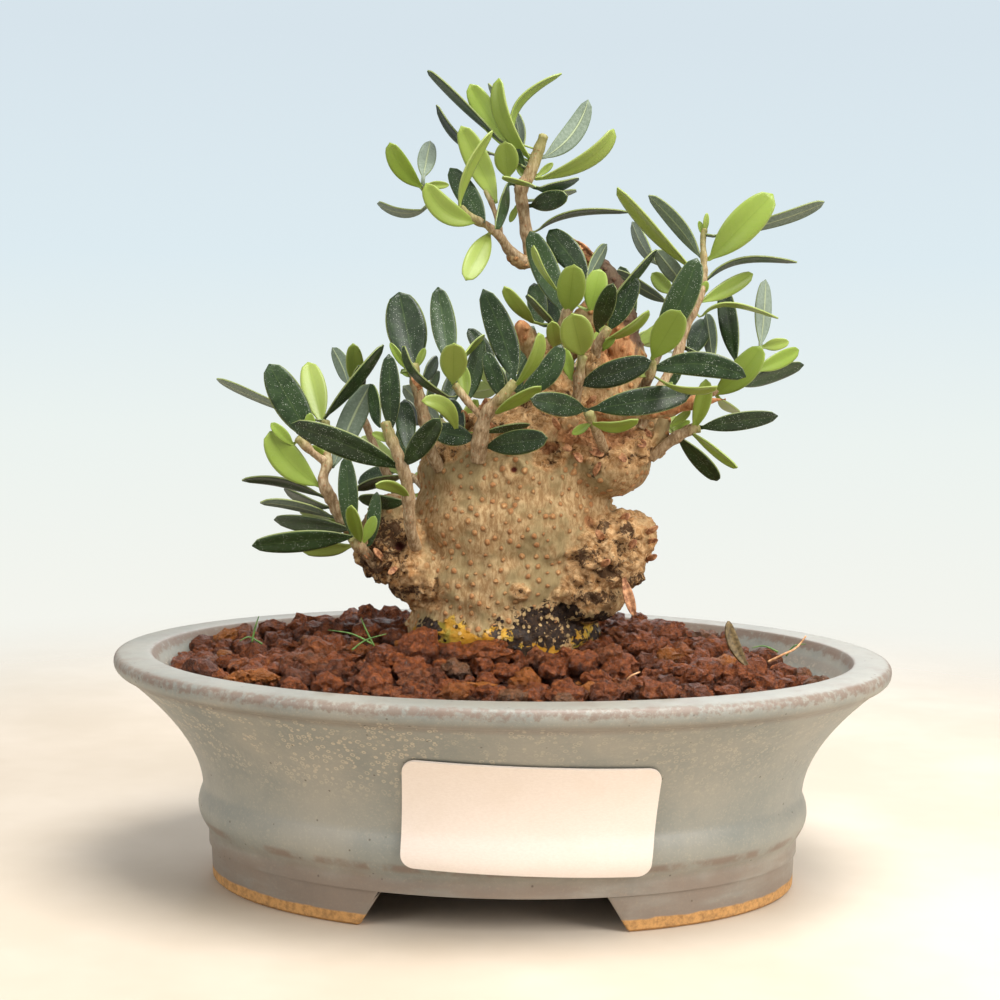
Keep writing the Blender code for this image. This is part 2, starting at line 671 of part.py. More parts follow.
def make_label(collection):
    """A blank slip of paper that follows the wall, with rounded corners."""
    bm = bmesh.new()
    columns = 8
    heights = [LABEL_BOTTOM, LABEL_BOTTOM + 1.6 * MM, 16.8 * MM, 20.2 * MM, 25.7 * MM,
               LABEL_TOP - 1.6 * MM, LABEL_TOP]
    width = LABEL_RIGHT - LABEL_LEFT
    rows = []
    for height in heights:
        edge = min(height - LABEL_BOTTOM, LABEL_TOP - height)
        pull = LABEL_CORNER * max(0.0, 1 - edge / LABEL_CORNER) ** 2
        row = []
        for k in range(columns + 1):
            x = LABEL_LEFT + pull + (width - 2 * pull) * k / columns
            drop = LABEL_TILT * (x - (LABEL_LEFT + LABEL_RIGHT) / 2)
            proud = 2 * GAP + LABEL_THICKNESS
            row.append(bm.verts.new(wall_front(x, height - drop, proud)))
        rows.append(row)
    for low, high in zip(rows, rows[1:]):
        for k in range(columns):
            bm.faces.new((low[k], low[k + 1], high[k + 1], high[k]))
    label = object_from("label", bm, collection)
    wall = label.modifiers.new("thickness", "SOLIDIFY")
    wall.thickness = LABEL_THICKNESS
    wall.offset = -1 if label.data.polygons[0].normal.y < 0 else 1
    finish_modifiers(label)
    colour(label, "paper", PAPER)
    return label


# Soil

def inner_inset(height):
    """Inset of the inside of the wall at a height, along the straight runs of its profile."""
    points = inner_profile() + [(LIP_WIDTH, POT_HEIGHT - 0.5 * MM)]
    for (low_inset, low), (high_inset, high) in zip(points, points[1:]):
        if height <= high:
            share = (height - low) / (high - low)
            return low_inset + (high_inset - low_inset) * share
    return points[-1][0]


def soil_height(x, y):
    """The lie of the soil: a mound round the trunk that falls away, most at the right end."""
    mound = math.exp(-((x / MOUND_REACH[0]) ** 2 + ((y - MOUND_BACK) / MOUND_REACH[1]) ** 2))
    right = min(max((x - 27 * MM) / (36 * MM), 0.0), 1.0)
    left = min(max((-x - 44 * MM) / (22 * MM), 0.0), 1.0)
    return SOIL_EDGE + MOUND_RISE * mound - 6.0 * MM * right ** 1.3 - 3.4 * MM * left


def crumbs(x, y):
    """Rounded crumbs with cracks between them."""
    near = noise.voronoi(Vector((x, y, 0)) / CRUMB_SIZE)[0]
    lump = min((near[1] - near[0]) * 1.7, 1.0)
    tone = noise.noise(Vector((x, y, 1.7)) / (2.2 * CRUMB_SIZE))
    return CRUMB_RISE * (lump - 0.55 + 0.7 * tone)


def soil_outline(height_of):
    """The top edge of the soil, just inside the wall."""
    points = []
    for k in range(POT_SIDES):
        angle = 2 * math.pi * k / POT_SIDES
        place = oval_point(LIP_WIDTH + 4 * MM, angle, 0)
        height = height_of(place.x, place.y)
        points.append(oval_point(inner_inset(height) + GAP, angle, height))
    return points


def hole_outline(height_of):
    points = []
    for k in range(28):
        angle = 2 * math.pi * k / 28
        x = FOOT_CENTRE[0] + (FOOT_HALF[0] + GAP) * math.cos(angle) * 1.005
        y = FOOT_CENTRE[1] + (FOOT_HALF[1] + GAP) * math.sin(angle) * 1.005
        points.append(Vector((x, y, height_of(x, y))))
    return points


def soil_points(outer, hole):
    """Scattered places for the relief between the outline and the trunk's hole."""
    draw = random.Random(SEED)
    places = [point.xy for point in outer] + [point.xy for point in hole]
    row_step = CRUMB_SPACING * math.sqrt(3) / 2
    rows = int(POT_WIDTH / row_step)
    columns = int(POT_LENGTH / CRUMB_SPACING)
    for row in range(-rows // 2, rows // 2 + 1):
        for column in range(-columns // 2, columns // 2 + 1):
            x = (column + (row % 2) / 2) * CRUMB_SPACING + draw.uniform(-0.8, 0.8) * MM
            y = row * row_step + draw.uniform(-0.8, 0.8) * MM
            rim = (x / (POT_LENGTH / 2 - 15 * MM)) ** 2 + (y / (POT_WIDTH / 2 - 15 * MM)) ** 2
            foot = (((x - FOOT_CENTRE[0]) / (FOOT_HALF[0] + 2.4 * MM)) ** 2
                    + ((y - FOOT_CENTRE[1]) / (FOOT_HALF[1] + 2.4 * MM)) ** 2)
            if rim < 1 < foot:
                places.append(Vector((x, y)))
    return places


def make_soil(collection):
    outer = soil_outline(soil_height)
    hole = hole_outline(soil_height)
    places = soil_points(outer, hole)
    faces = delaunay_2d_cdt(places, [], [list(range(POT_SIDES))], 1, 1e-6)[2]
    bm = bmesh.new()
    verts = []
    for index, place in enumerate(places):
        if index < POT_SIDES:
            verts.append(bm.verts.new(outer[index]))
            continue
        if index < POT_SIDES + len(hole):
            verts.append(bm.verts.new(hole[index - POT_SIDES]))
            continue
        height = soil_height(place.x, place.y) + crumbs(place.x, place.y)
        verts.append(bm.verts.new((place.x, place.y, height)))
    for face in faces:
        in_hole = all(POT_SIDES <= index < POT_SIDES + len(hole) for index in face)
        if not in_hole:
            bm.faces.new([verts[index] for index in face])
    ring = verts[:POT_SIDES]
    bottom = FLOOR_HEIGHT + 2 * GAP + SCREEN_THICKNESS
    for height in (32.2 * MM, 18.2 * MM, bottom):
        lower = [bm.verts.new(oval_point(inner_inset(height) + GAP, 2 * math.pi * k / POT_SIDES,
                                         height)) for k in range(POT_SIDES)]
        close_band(bm, ring, lower)
        ring = lower
    bm.faces.new(ring)
    well = verts[POT_SIDES:POT_SIDES + len(hole)]
    floor = [bm.verts.new((v.co.x, v.co.y, FOOT_BOTTOM - GAP)) for v in well]
    close_band(bm, well, floor)
    bm.faces.new(floor)
    soil = object_from("soil", bm, collection)
    colour(soil, "earth", EARTH)
    return soil


def close_band(bm, upper, lower):
    count = len(upper)
    for k in range(count):
        after = (k + 1) % count
        bm.faces.new((upper[k], upper[after], lower[after], lower[k]))


# Trunk

def swelling(centre, halves, collection):
    bm = bmesh.new()
    bmesh.ops.create_icosphere(bm, subdivisions=3, radius=1.0)
    bmesh.ops.scale(bm, vec=[half * MM for half in halves], verts=bm.verts)
    bmesh.ops.translate(bm, vec=sight(*centre), verts=bm.verts)
    return object_from("swelling", bm, collection)


def limb(points, collection):
    path = [sight(x, y, depth) for x, y, depth, _ in points]
    radii = [radius * MM for *_, radius in points]
    path, radii = smooth_path(path, radii, 3)
    return tube("limb", path, radii, 12, collection)


def smooth_path(path, radii, steps):
    """More points along a Catmull-Rom curve through the given ones."""
    fine, sizes = [], []
    for i in range(len(path) - 1):
        before = path[max(i - 1, 0)]
        after = path[min(i + 2, len(path) - 1)]
        for k in range(steps):
            t = k / steps
            start, end = path[i], path[i + 1]
            fine.append(0.5 * (2 * start + (end - before) * t
                               + (2 * before - 5 * start + 4 * end - after) * t * t
                               + (3 * start - before - 3 * end + after) * t ** 3))
            sizes.append(radii[i] + (radii[i + 1] - radii[i]) * t)
    return fine + [path[-1]], sizes + [radii[-1]]


def make_wood(collection):
    """The bare trunk: swellings and limbs run together, roughened, and cut to its foot."""
    pieces = [swelling(centre, halves, collection) for centre, halves in SWELLINGS]
    pieces += [limb(points, collection) for points in LIMBS]
    bm = bmesh.new()
    for piece in pieces:
        bm.from_mesh(piece.data)
    remove(pieces)
    wood = object_from("trunk", bm, collection)
    skin = wood.modifiers.new("skin", "REMESH")
    skin.mode = "VOXEL"
    skin.voxel_size = WOOD_VOXEL
    finish_modifiers(wood)
    relax = wood.modifiers.new("relax", "SMOOTH")
    relax.factor = 0.5
    relax.iterations = 4
    finish_modifiers(wood)
    roughen(wood)
    thin = wood.modifiers.new("thin", "DECIMATE")
    thin.ratio = WOOD_FACES / sum(len(face.vertices) - 2 for face in wood.data.polygons)
    finish_modifiers(wood)
    combine(wood, foot_trim(collection), "DIFFERENCE")
    return wood


def roughen(wood):
    for vert in wood.data.vertices:
        lump = noise.fractal(vert.co / (7 * MM), 1.0, 2.0, 3)
        burl = noise.noise(vert.co / (3.2 * MM))
        vert.co += vert.normal * (WOOD_LUMP * lump + 0.35 * MM * burl)


def foot_trim(collection):
    """A block with an oval hole, which leaves the foot plain where it stands in the soil."""
    bm = bmesh.new()
    bmesh.ops.create_cone(bm, cap_ends=True, segments=32, radius1=60 * MM, radius2=60 * MM,
                          depth=COLLAR_TOP)
    bmesh.ops.translate(bm, verts=bm.verts, vec=(0, 0, COLLAR_TOP / 2))
    block = object_from("foot_block", bm, collection)
    bm = bmesh.new()
    height = COLLAR_TOP - FOOT_BOTTOM + 10 * MM
    bmesh.ops.create_cone(bm, cap_ends=True, segments=28, radius1=1.0, radius2=1.0, depth=height)
    bmesh.ops.scale(bm, vec=(FOOT_HALF[0], FOOT_HALF[1], 1), verts=bm.verts)
    bmesh.ops.translate(bm, verts=bm.verts, vec=(*FOOT_CENTRE, FOOT_BOTTOM + height / 2))
    hole = object_from("foot_hole", bm, collection)
    combine(block, [hole], "DIFFERENCE")
    return [block]


# Leaves

class Leaf:
    """One blade: where it hangs on its stem, the curve of its midrib and how it faces."""

    def __init__(self, kind, base, middle, tip, width, facing):
        self.kind = kind
        self.base = base
        self.middle = middle
        self.tip = tip
        self.width = width
        self.facing = facing
        self.root = base
        self.longest = MOST_STRETCH * (tip - base).length

    def spine(self, t):
        """A curve through base, middle and tip."""
        control = 2 * self.middle - (self.base + self.tip) / 2
        return (1 - t) ** 2 * self.base + 2 * t * (1 - t) * control + t * t * self.tip

    def along(self, t):
        return (self.spine(min(t + 0.05, 1.0)) - self.spine(max(t - 0.05, 0.0))).normalized()

    def across(self, t):
        """The blade's sideways direction: turned from face-on by what the width seen tells."""
        along = self.along(t)
        ray = (self.spine(t) - eye_place()).normalized()
        flat = along.cross(ray).normalized()
        deep = along.cross(flat).normalized()
        return flat * math.cos(self.facing) + deep * math.sin(self.facing)


def outline_share(t):
    """Half width of a blade over its greatest, from base to tip."""
    return math.sin(math.pi * min(t, 1.0) ** 0.92) ** 0.75


def closest_on(path, point):
    best = None
    for start, end in zip(path, path[1:]):
        run = end - start
        share = min(max((point - start).dot(run) / run.length_squared, 0.0), 1.0)
        place = start + run * share
        if best is None or (place - point).length < (best - point).length:
            best = place
    return best


def seen_leaf(row, paths):
    """A leaf from its row: its depth starts at its stem's and leans by its kind's length."""
    kind, base, tip, width, lean = row[:5]
    guess = min((closest_on(path, sight(*base, path[-1].y / MM)) for path in paths),
                key=lambda place: (place - sight(*base, place.y / MM)).length)
    depth = guess.y / MM
    start = sight(*base, depth)
    end = sight(*tip, depth)
    flat = (end - start).length
    typical = TYPICAL_LENGTH[kind]
    shift = 0.75 * math.sqrt(max(typical ** 2 - flat ** 2, 0.0)) + 0.12 * flat
    end = sight(*tip, depth + lean * shift / MM)
    pixel = (end - eye_place()).length / FOCAL_PIXELS
    middle = ((base[0] + tip[0]) / 2, (base[1] + tip[1]) / 2) if len(row) < 6 else row[5]
    sag = 0.05 * flat * (1 if lean > 0 else -1)
    centre = sight(*middle, (start.y + end.y) / 2 / MM + sag / MM)
    real = max(width * pixel, SLIMMEST_BLADE * (end - start).length)
    facing = math.acos(min(width * pixel / real, 1.0))
    if (end - start).cross(Vector((0, 1, 0))).z < 0:
        facing = -facing
    leaf = Leaf(kind, start, centre, end, real, facing)
    leaf.root = guess
    return leaf


def far_leaves(index, path, pairs):
    """Opposite pairs along a far stem, each pair turned a quarter from the one before."""
    draw = random.Random(SEED + index)
    leaves = []
    for pair in range(pairs):
        share = 0.42 + 0.58 * pair / (pairs - 1)
        place = path[0].lerp(path[-1], share)
        along = (path[-1] - path[0]).normalized()
        side = along.orthogonal().normalized()
        other = along.cross(side)
        turn = pair * math.pi / 2 + draw.uniform(-0.3, 0.3)
        for half in (0, math.pi):
            out = side * math.cos(turn + half) + other * math.sin(turn + half)
            reach = draw.uniform(*FAR_LEAF_LENGTH)
            lift = draw.uniform(0.45, 0.9)
            aim = (out + along * lift + Vector((0, 0.35, 0.15))).normalized()
            tip = place + aim * reach
            start = place + aim * 1.6 * MM
            middle = (start + tip) / 2 + along * 0.7 * MM
            kind = "young" if draw.random() < 0.3 else "mature"
            leaf = Leaf(kind, start, middle, tip, FAR_LEAF_SHAPE * reach, draw.uniform(-1.0, 1.0))
            leaf.root = place
            leaves.append(leaf)
    return leaves


def stem_paths(stems):
    return [[sight(*point) for point in path] for path in stems]


def all_shoots():
    """Every leafy stem: its name, its paths, its thickness and its leaves."""
    shoots = []
    for name, stem in STEMS.items():
        paths = stem_paths(stem["stems"])
        leaves = [seen_leaf(row, paths) for row in stem["leaves"]]
        shoots.append((name, paths, stem["thick"], leaves))
    for index, (base, end, pairs) in enumerate(FAR_STEMS):
        start, finish = sight(*base), sight(*end)
        middle = (start + finish) / 2 + Vector((0, 0, 1.5 * MM))
        path = [start, middle, finish]
        name = f"shoot_far_{index + 1}"
        shoots.append((name, [path], FAR_THICK, far_leaves(index, path, pairs)))
    return shoots


# Making room between stems

def blade_places(leaves):
    """Places on every blade (leaf, share, side, xyz), and how far along it each lies."""
    base = np.array([leaf.base for leaf in leaves])[:, None]
    middle = np.array([leaf.middle for leaf in leaves])[:, None]
    tip = np.array([leaf.tip for leaf in leaves])[:, None]
    width = np.array([leaf.width for leaf in leaves])[:, None, None]
    facing = np.array([leaf.facing for leaf in leaves])[:, None, None]
    shares = np.linspace(0, 1, 9)[None, :, None]
    control = 2 * middle - (base + tip) / 2
    spine = (1 - shares) ** 2 * base + 2 * shares * (1 - shares) * control + shares ** 2 * tip
    along = unit((1 - shares) * (control - base) + shares * (tip - control))
    flat = unit(np.cross(along, unit(spine - np.array(eye_place()))))
    deep = unit(np.cross(along, flat))
    across = flat * np.cos(facing) + deep * np.sin(facing)
    halves = width / 2 * np.array([outline_share(t) for t in shares.ravel()])[None, :, None]
    sides = np.array([-0.95, -0.32, 0.32, 0.95])[None, None, :, None]
    places = spine[:, :, None] + (across * halves)[:, :, None] * sides
    return places, np.broadcast_to(shares[..., None], places.shape[:3] + (1,))[..., 0]


def unit(vectors):
    return vectors / np.linalg.norm(vectors, axis=-1, keepdims=True)


def wood_balls():
    """The swellings, and balls along the limbs, as centres with half sizes."""
    balls = [(sight(*centre), [half * MM for half in halves]) for centre, halves in SWELLINGS]
    for points in LIMBS:
        path = [sight(x, y, depth) for x, y, depth, _ in points]
        path, radii = smooth_path(path, [radius * MM for *_, radius in points], 5)
        balls += [(place, [radius] * 3) for place, radius in zip(path, radii)]
    return np.array([centre for centre, _ in balls]), np.array([halves for _, halves in balls])


def wood_pushes(places, centres, halves):
    """How far each place must move along the sight line, with its sign, to clear the wood."""
    gap = places[:, None] - centres[None]
    reach = np.linalg.norm(gap / halves[None], axis=-1)
    short = (1.0 - reach) * halves.min(axis=1)[None] + LEAF_CLEARANCE
    nearest = short.argmax(axis=1)
    rows = np.arange(len(places))
    way = np.where(gap[rows, nearest, 1] > 0, 1.0, -1.0)
    return np.maximum(short[rows, nearest], 0.0) * way


def lean_by(leaf, shift):
    """Moves the tip along its line of sight, so that the reference view keeps its place."""
    tip = leaf.tip + (leaf.tip - eye_place()).normalized() * shift
    if (tip - leaf.base).length > leaf.longest:
        return
    leaf.tip = tip
    leaf.middle = leaf.middle + (leaf.middle - eye_place()).normalized() * shift * 0.45


def settle(shoots):
    """Leans leaves of different stems apart in depth until their blades are clear."""
    leaves = [leaf for shoot in shoots for leaf in shoot[3]]
    owner = [index for index, shoot in enumerate(shoots) for _ in shoot[3]]
    fixed = stem_samples(shoots)
    centres, halves = wood_balls()
    reach = LEAF_CLEARANCE + 0.5 * MM
    for _ in range(SETTLE_PASSES):
        grid, shares = blade_places(leaves)
        count = grid.shape[1] * grid.shape[2]
        places, shares = grid.reshape(-1, 3), shares.reshape(-1)
        wood = wood_pushes(places, centres, halves)
        tree = KDTree(len(places) + len(fixed))
        for k, place in enumerate(places):
            tree.insert(place, k)
        for k, (place, _) in enumerate(fixed):
            tree.insert(place, len(places) + k)
        tree.balance()
        pushes = [0.0] * len(leaves)
        depths = [leaf.spine(0.5).y for leaf in leaves]
        for k, place in enumerate(places):
            if shares[k] < 0.2:
                continue
            number = k // count
            push = wood[k] / shares[k]
            for near, other, apart in tree.find_range(place, reach):
                if other < len(places):
                    rival, depth = owner[other // count], depths[other // count]
                else:
                    rival, depth = fixed[other - len(places)][1], near.y
                if rival == owner[number]:
                    continue
                away = 1.0 if depths[number] > depth else -1.0
                if (reach - apart) / shares[k] > abs(push):
                    push = 0.6 * (reach - apart) * away / shares[k]
            if abs(push) > abs(pushes[number]):
                pushes[number] = push
        for leaf, push in zip(leaves, pushes):
            lean_by(leaf, 0.5 * max(min(push, 1.5 * MM), -1.5 * MM))
        if max(abs(push) for push in pushes) < 0.02 * MM:
            break


def stem_samples(shoots):
    """Places round each stem, with the number of its shoot."""
    places = []
    sides = [Vector((1, 0, 0)), Vector((-1, 0, 0)), Vector((0, 1, 0)), Vector((0, -1, 0))]
    for index, (_, paths, thick, _) in enumerate(shoots):
        for path in paths:
            for start, end in zip(path, path[1:]):
                steps = max(int((end - start).length / MM), 1)
                for k in range(steps + 1):
                    middle = start.lerp(end, k / steps)
                    places += [(middle + way * thick[0] / 2 * MM, index) for way in sides]
    return places


# Solid shoots

def blade(leaf, collection):
    """A thin slab from the stem to the tip, with both faces split alike."""
    bm = bmesh.new()
    into = (leaf.root - leaf.spine(0.05)).normalized()
    if (leaf.root - leaf.base).length < 0.3 * MM:
        into = -leaf.along(0.0)
    rings = [slab_ring(bm, leaf.root + into * 0.4 * MM, leaf.across(0.0), leaf.along(0.05),
                       STALK_WIDTH / 2)]
    for t in (0.30, 0.72):
        half = max(leaf.width / 2 * outline_share(t), STALK_WIDTH / 2)
        rings.append(slab_ring(bm, leaf.spine(t), leaf.across(t), leaf.along(t), half))
    for low, high in zip(rings, rings[1:]):
        for a, b, c, d in ((0, 1, 1, 0), (3, 2, 2, 3)):
            bm.faces.new((low[a], low[b], high[c]))
            bm.faces.new((low[a], high[c], high[d]))
        bm.faces.new((low[1], low[2], high[2], high[1]))
        bm.faces.new((low[3], low[0], high[0], high[3]))
    up = leaf.across(1.0).cross(leaf.along(1.0)).normalized() * BLADE_THICKNESS / 2
    tip = (bm.verts.new(leaf.tip + up), bm.verts.new(leaf.tip - up))
    last = rings[-1]
    bm.faces.new((last[0], last[1], tip[0]))
    bm.faces.new((last[3], last[2], tip[1]))
    bm.faces.new((last[1], last[2], tip[1], tip[0]))
    bm.faces.new((last[3], last[0], tip[0], tip[1]))
    bm.faces.new(rings[0])
    return object_from("blade", bm, collection)


def slab_ring(bm, place, across, along, half):
    up = across.cross(along).normalized() * BLADE_THICKNESS / 2
    side = across * half
    return [bm.verts.new(place + corner) for corner in
            (side + up, -side + up, -side - up, side - up)]


def split_stem(path, radii, wood):
    """Finds where a stem leaves the wood: the part up to there belongs to the trunk."""
    walked = [(i, k / 24) for i in range(len(path) - 1) for k in range(24)]
    leave = 0
    for number, (i, share) in enumerate(walked):
        place = path[i].lerp(path[i + 1], share)
        near = wood.closest_point_on_mesh(place)[1]
        if (place - near).length < radii[i] + 0.5 * MM:
            leave = number + 1
    i, share = walked[min(leave, len(walked) - 8)]
    return i, min(share, 0.9)


def make_shoot(shoot, wood, collection):
    """Returns the leafy stem and the short stub that carries it on the trunk."""
    name, paths, thick, leaves = shoot
    main = paths[0]
    count = len(main)
    radii = [(thick[0] + (thick[1] - thick[0]) * k / (count - 1)) / 2 * MM for k in range(count)]
    i, share = split_stem(main, radii, wood)
    cut = main[i].lerp(main[i + 1], share)
    along = (main[i + 1] - main[i]).normalized()
    stub = tube("stub", main[:i + 1] + [cut], radii[:i + 1] + [radii[i]], 5, collection)
    start = cut + along * GAP
    stem = tube(name, [start] + main[i + 1:], [radii[i]] + radii[i + 1:], 5, collection)
    others = []
    for side_path in paths[1:]:
        sizes = [thick[1] / 2 * MM * (1 - 0.25 * k / len(side_path)) for k in range(len(side_path))]
        others.append(tube("side", side_path, sizes, 5, collection))
    for leaf in leaves:
        if (leaf.root - main[0]).length < (start - main[0]).length + 0.8 * MM:
            leaf.root = start + along * 1.0 * MM
        others.append(blade(leaf, collection))
    combine(stem, others, "UNION", "MANIFOLD")
    keep_largest(stem)
    young = sum(leaf.kind in ("young", "small") for leaf in leaves)
    fresh = young * 2 > len(leaves)
    colour(stem, "fresh_leaf" if fresh else "dark_leaf", FRESH_LEAF if fresh else DARK_LEAF)
    return stem, stub


def main():
    for obj in list(bpy.data.objects):
        bpy.data.objects.remove(obj)
    bonsai = bpy.data.collections.new("wild_olive_bonsai")
    bpy.context.scene.collection.children.link(bonsai)
    make_pot(bonsai)
    make_screens(bonsai)
    make_label(bonsai)
    make_soil(bonsai)
    wood = make_wood(bonsai)
    shoots = all_shoots()
    settle(shoots)
    stubs = []
    bpy.context.view_layer.update()
    for shoot in shoots:
        _, stub = make_shoot(shoot, wood, bonsai)
        stubs.append(stub)
    combine(wood, stubs, "UNION")
    keep_largest(wood)
    colour(wood, "bark", BARK)
    wood.data.shade_smooth()
    wood.data.set_sharp_from_angle(angle=math.radians(45))


main()
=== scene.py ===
import itertools
import math
import random

import bmesh
import bpy
import numpy as np
from mathutils import Matrix, Vector, noise
from mathutils.bvhtree import BVHTree
from mathutils.kdtree import KDTree


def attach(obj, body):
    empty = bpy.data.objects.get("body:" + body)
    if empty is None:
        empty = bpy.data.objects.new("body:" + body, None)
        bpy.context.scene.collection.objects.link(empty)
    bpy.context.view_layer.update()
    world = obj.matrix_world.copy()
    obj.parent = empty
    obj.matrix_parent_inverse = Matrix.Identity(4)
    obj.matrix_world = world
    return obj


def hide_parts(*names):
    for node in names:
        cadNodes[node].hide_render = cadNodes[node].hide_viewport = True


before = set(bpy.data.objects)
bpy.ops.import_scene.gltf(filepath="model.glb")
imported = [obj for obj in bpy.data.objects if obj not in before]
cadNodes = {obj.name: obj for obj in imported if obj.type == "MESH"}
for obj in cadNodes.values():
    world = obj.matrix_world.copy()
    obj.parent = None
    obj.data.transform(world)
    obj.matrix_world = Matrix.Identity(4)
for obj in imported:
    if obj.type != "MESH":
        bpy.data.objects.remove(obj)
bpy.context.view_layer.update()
scene = bpy.context.scene
mm = 0.001
seed = 7
noise.seed_set(seed)  # else noise_vector takes its offsets from the clock

# The eye that the sight points are read from, which is also where the camera stands
eye = {
    "distance": 400.0,
    "turn": 0.023,  # radians to the right
    "height": 112.7,
    "shift": -0.9,
    "down": 0.086,
    "roll": -0.015,
    "focal": 1949.0,  # picture widths are 1000
    "middle": 500.0,
}


def eyePlace():
    return Vector((math.sin(eye["turn"]) * eye["distance"], -math.cos(eye["turn"]) * eye["distance"],
                   eye["height"])) * mm


def eyeAxes():
    right = Vector((math.cos(eye["turn"]), math.sin(eye["turn"]), 0))
    ahead = Vector((-math.sin(eye["turn"]), math.cos(eye["turn"]), 0))
    up = Vector((0, 0, 1))
    gaze = ahead * math.cos(eye["down"]) - up * math.sin(eye["down"])
    crown = up * math.cos(eye["down"]) + ahead * math.sin(eye["down"])
    across = right * math.cos(eye["roll"]) - crown * math.sin(eye["roll"])
    upward = right * math.sin(eye["roll"]) + crown * math.cos(eye["roll"])
    return right, across, upward, gaze


# The point seen at x, y in the picture whose Y is depth, in mm
def sight(x, y, depth):
    right, across, upward, gaze = eyeAxes()
    ray = (gaze + across * ((x - eye["middle"]) / eye["focal"])
           + upward * ((eye["middle"] - y) / eye["focal"]))
    start = eyePlace() + right * eye["shift"] * mm
    return start + ray * ((depth * mm - start.y) / ray.y)


# Where points (an n by 3 array) stand in the picture
def seenAt(points):
    right, across, upward, gaze = [np.array(axis) for axis in eyeAxes()]
    ray = points - (np.array(eyePlace()) + right * eye["shift"] * mm)
    far = ray @ gaze
    return (eye["middle"] + eye["focal"] * (ray @ across) / far,
            eye["middle"] - eye["focal"] * (ray @ upward) / far)


def setCamera():
    right, across, upward, gaze = eyeAxes()
    data = bpy.data.cameras.new("camera")
    data.sensor_width = 36
    data.lens = eye["focal"] * 36 / 1000
    data.clip_start = 0.01
    camera = bpy.data.objects.new("camera", data)
    camera.matrix_world = Matrix((across, upward, -gaze)).transposed().to_4x4()
    camera.matrix_world.translation = eyePlace() + right * eye["shift"] * mm
    scene.collection.objects.link(camera)
    scene.camera = camera


# Materials

# An sRGB colour from 0 to 255 as the linear one that shaders take
def paint(red, green, blue):
    parts = [part / 255 for part in (red, green, blue)]
    return tuple(p / 12.92 if p < 0.04045 else ((p + 0.055) / 1.055) ** 2.4 for p in parts) + (1.0,)


class Nodes:
    def __init__(self, tree):
        self.tree = tree

    def add(self, kind, inputs=None, **settings):
        node = self.tree.nodes.new("ShaderNode" + kind)
        for key, value in settings.items():
            setattr(node, key, value)
        for socket, value in (inputs or {}).items():
            self.feed(node.inputs[socket], value)
        return node

    def feed(self, socket, value):
        if isinstance(value, bpy.types.NodeSocket):
            self.tree.links.new(value, socket)
        else:
            socket.default_value = value

    def part(self, vector, axis):
        return self.add("SeparateXYZ", {"Vector": vector}).outputs[axis]

    def ramp(self, value, *stops):
        node = self.add("ValToRGB", {"Fac": value})
        points = node.color_ramp.elements
        while len(points) < len(stops):
            points.new(0.5)
        for point, (place, tint) in zip(points, stops):
            point.position = place
            point.color = tint
        return node.outputs["Color"]


class Finish(Nodes):
    def __init__(self, name, rough, gloss=0.5):
        self.material = bpy.data.materials.new(name)
        self.material.use_nodes = True
        super().__init__(self.material.node_tree)
        self.shader = self.tree.nodes["Principled BSDF"]
        self.shader.inputs["Roughness"].default_value = rough
        self.shader.inputs["Specular IOR Level"].default_value = gloss
        self.place = self.add("TexCoord").outputs["Object"]

    def stretched(self, x, y, z):
        return self.add("Mapping", {"Vector": self.place, "Scale": (x, y, z)}).outputs["Vector"]

    # size is the width of the pattern's lumps in mm
    def cloud(self, size, detail=4, rough=0.5, place=None, warp=0.0):
        inputs = {"Vector": place or self.place, "Scale": 1 / (size * mm), "Detail": detail,
                  "Roughness": rough, "Distortion": warp}
        return self.add("TexNoise", inputs).outputs["Fac"]

    # distance to the middle of each cell, and a random colour for each
    def cells(self, size):
        node = self.add("TexVoronoi", {"Vector": self.place, "Scale": 1 / (size * mm)})
        return node.outputs["Distance"], node.outputs["Color"]

    def math(self, kind, first, second=0.5, third=0.5):
        return self.add("Math", {0: first, 1: second, 2: third}, operation=kind).outputs[0]

    def plus(self, first, second):
        return self.math("ADD", first, second)

    def minus(self, first, second):
        return self.math("SUBTRACT", first, second)

    def times(self, first, *others):
        for other in others:
            first = self.math("MULTIPLY", first, other)
        return first

    # value times by, plus start
    def scaled(self, value, by, start):
        return self.math("MULTIPLY_ADD", value, by, start)

    def most(self, first, second):
        return self.math("MAXIMUM", first, second)

    def apart(self, value, middle):
        return self.math("ABSOLUTE", self.minus(value, middle))

    # 0 below low, 1 above high, and smooth between
    def fade(self, value, low, high):
        return self.add("MapRange", {"Value": value, "From Min": low, "From Max": high},
                        interpolation_type="SMOOTHSTEP").outputs["Result"]

    def fadeOut(self, value, low, high):
        return self.minus(1.0, self.fade(value, low, high))

    def blend(self, share, first, second):
        return self.add("Mix", {0: share, 6: first, 7: second}, data_type="RGBA").outputs[2]

    # Lays a tint over a colour where mask is 1, as strongly as share
    def over(self, colour, tint, mask, share=None):
        return self.blend(mask if share is None else self.times(mask, share), colour, tint)

    def read(self, name):
        return self.add("Attribute", attribute_name=name).outputs["Fac"]

    # distance is how deep the relief is in mm
    def relief(self, value, distance, strength=1.0):
        previous = self.shader.inputs["Normal"]
        inputs = {"Height": value, "Distance": distance * mm, "Strength": strength}
        if previous.is_linked:
            inputs["Normal"] = previous.links[0].from_socket
        self.feed(previous, self.add("Bump", inputs).outputs["Normal"])

    def finish(self, colour, rough=None):
        self.feed(self.shader.inputs["Base Color"], colour)
        if rough is not None:
            self.feed(self.shader.inputs["Roughness"], rough)
        return self.material


# Mesh helpers

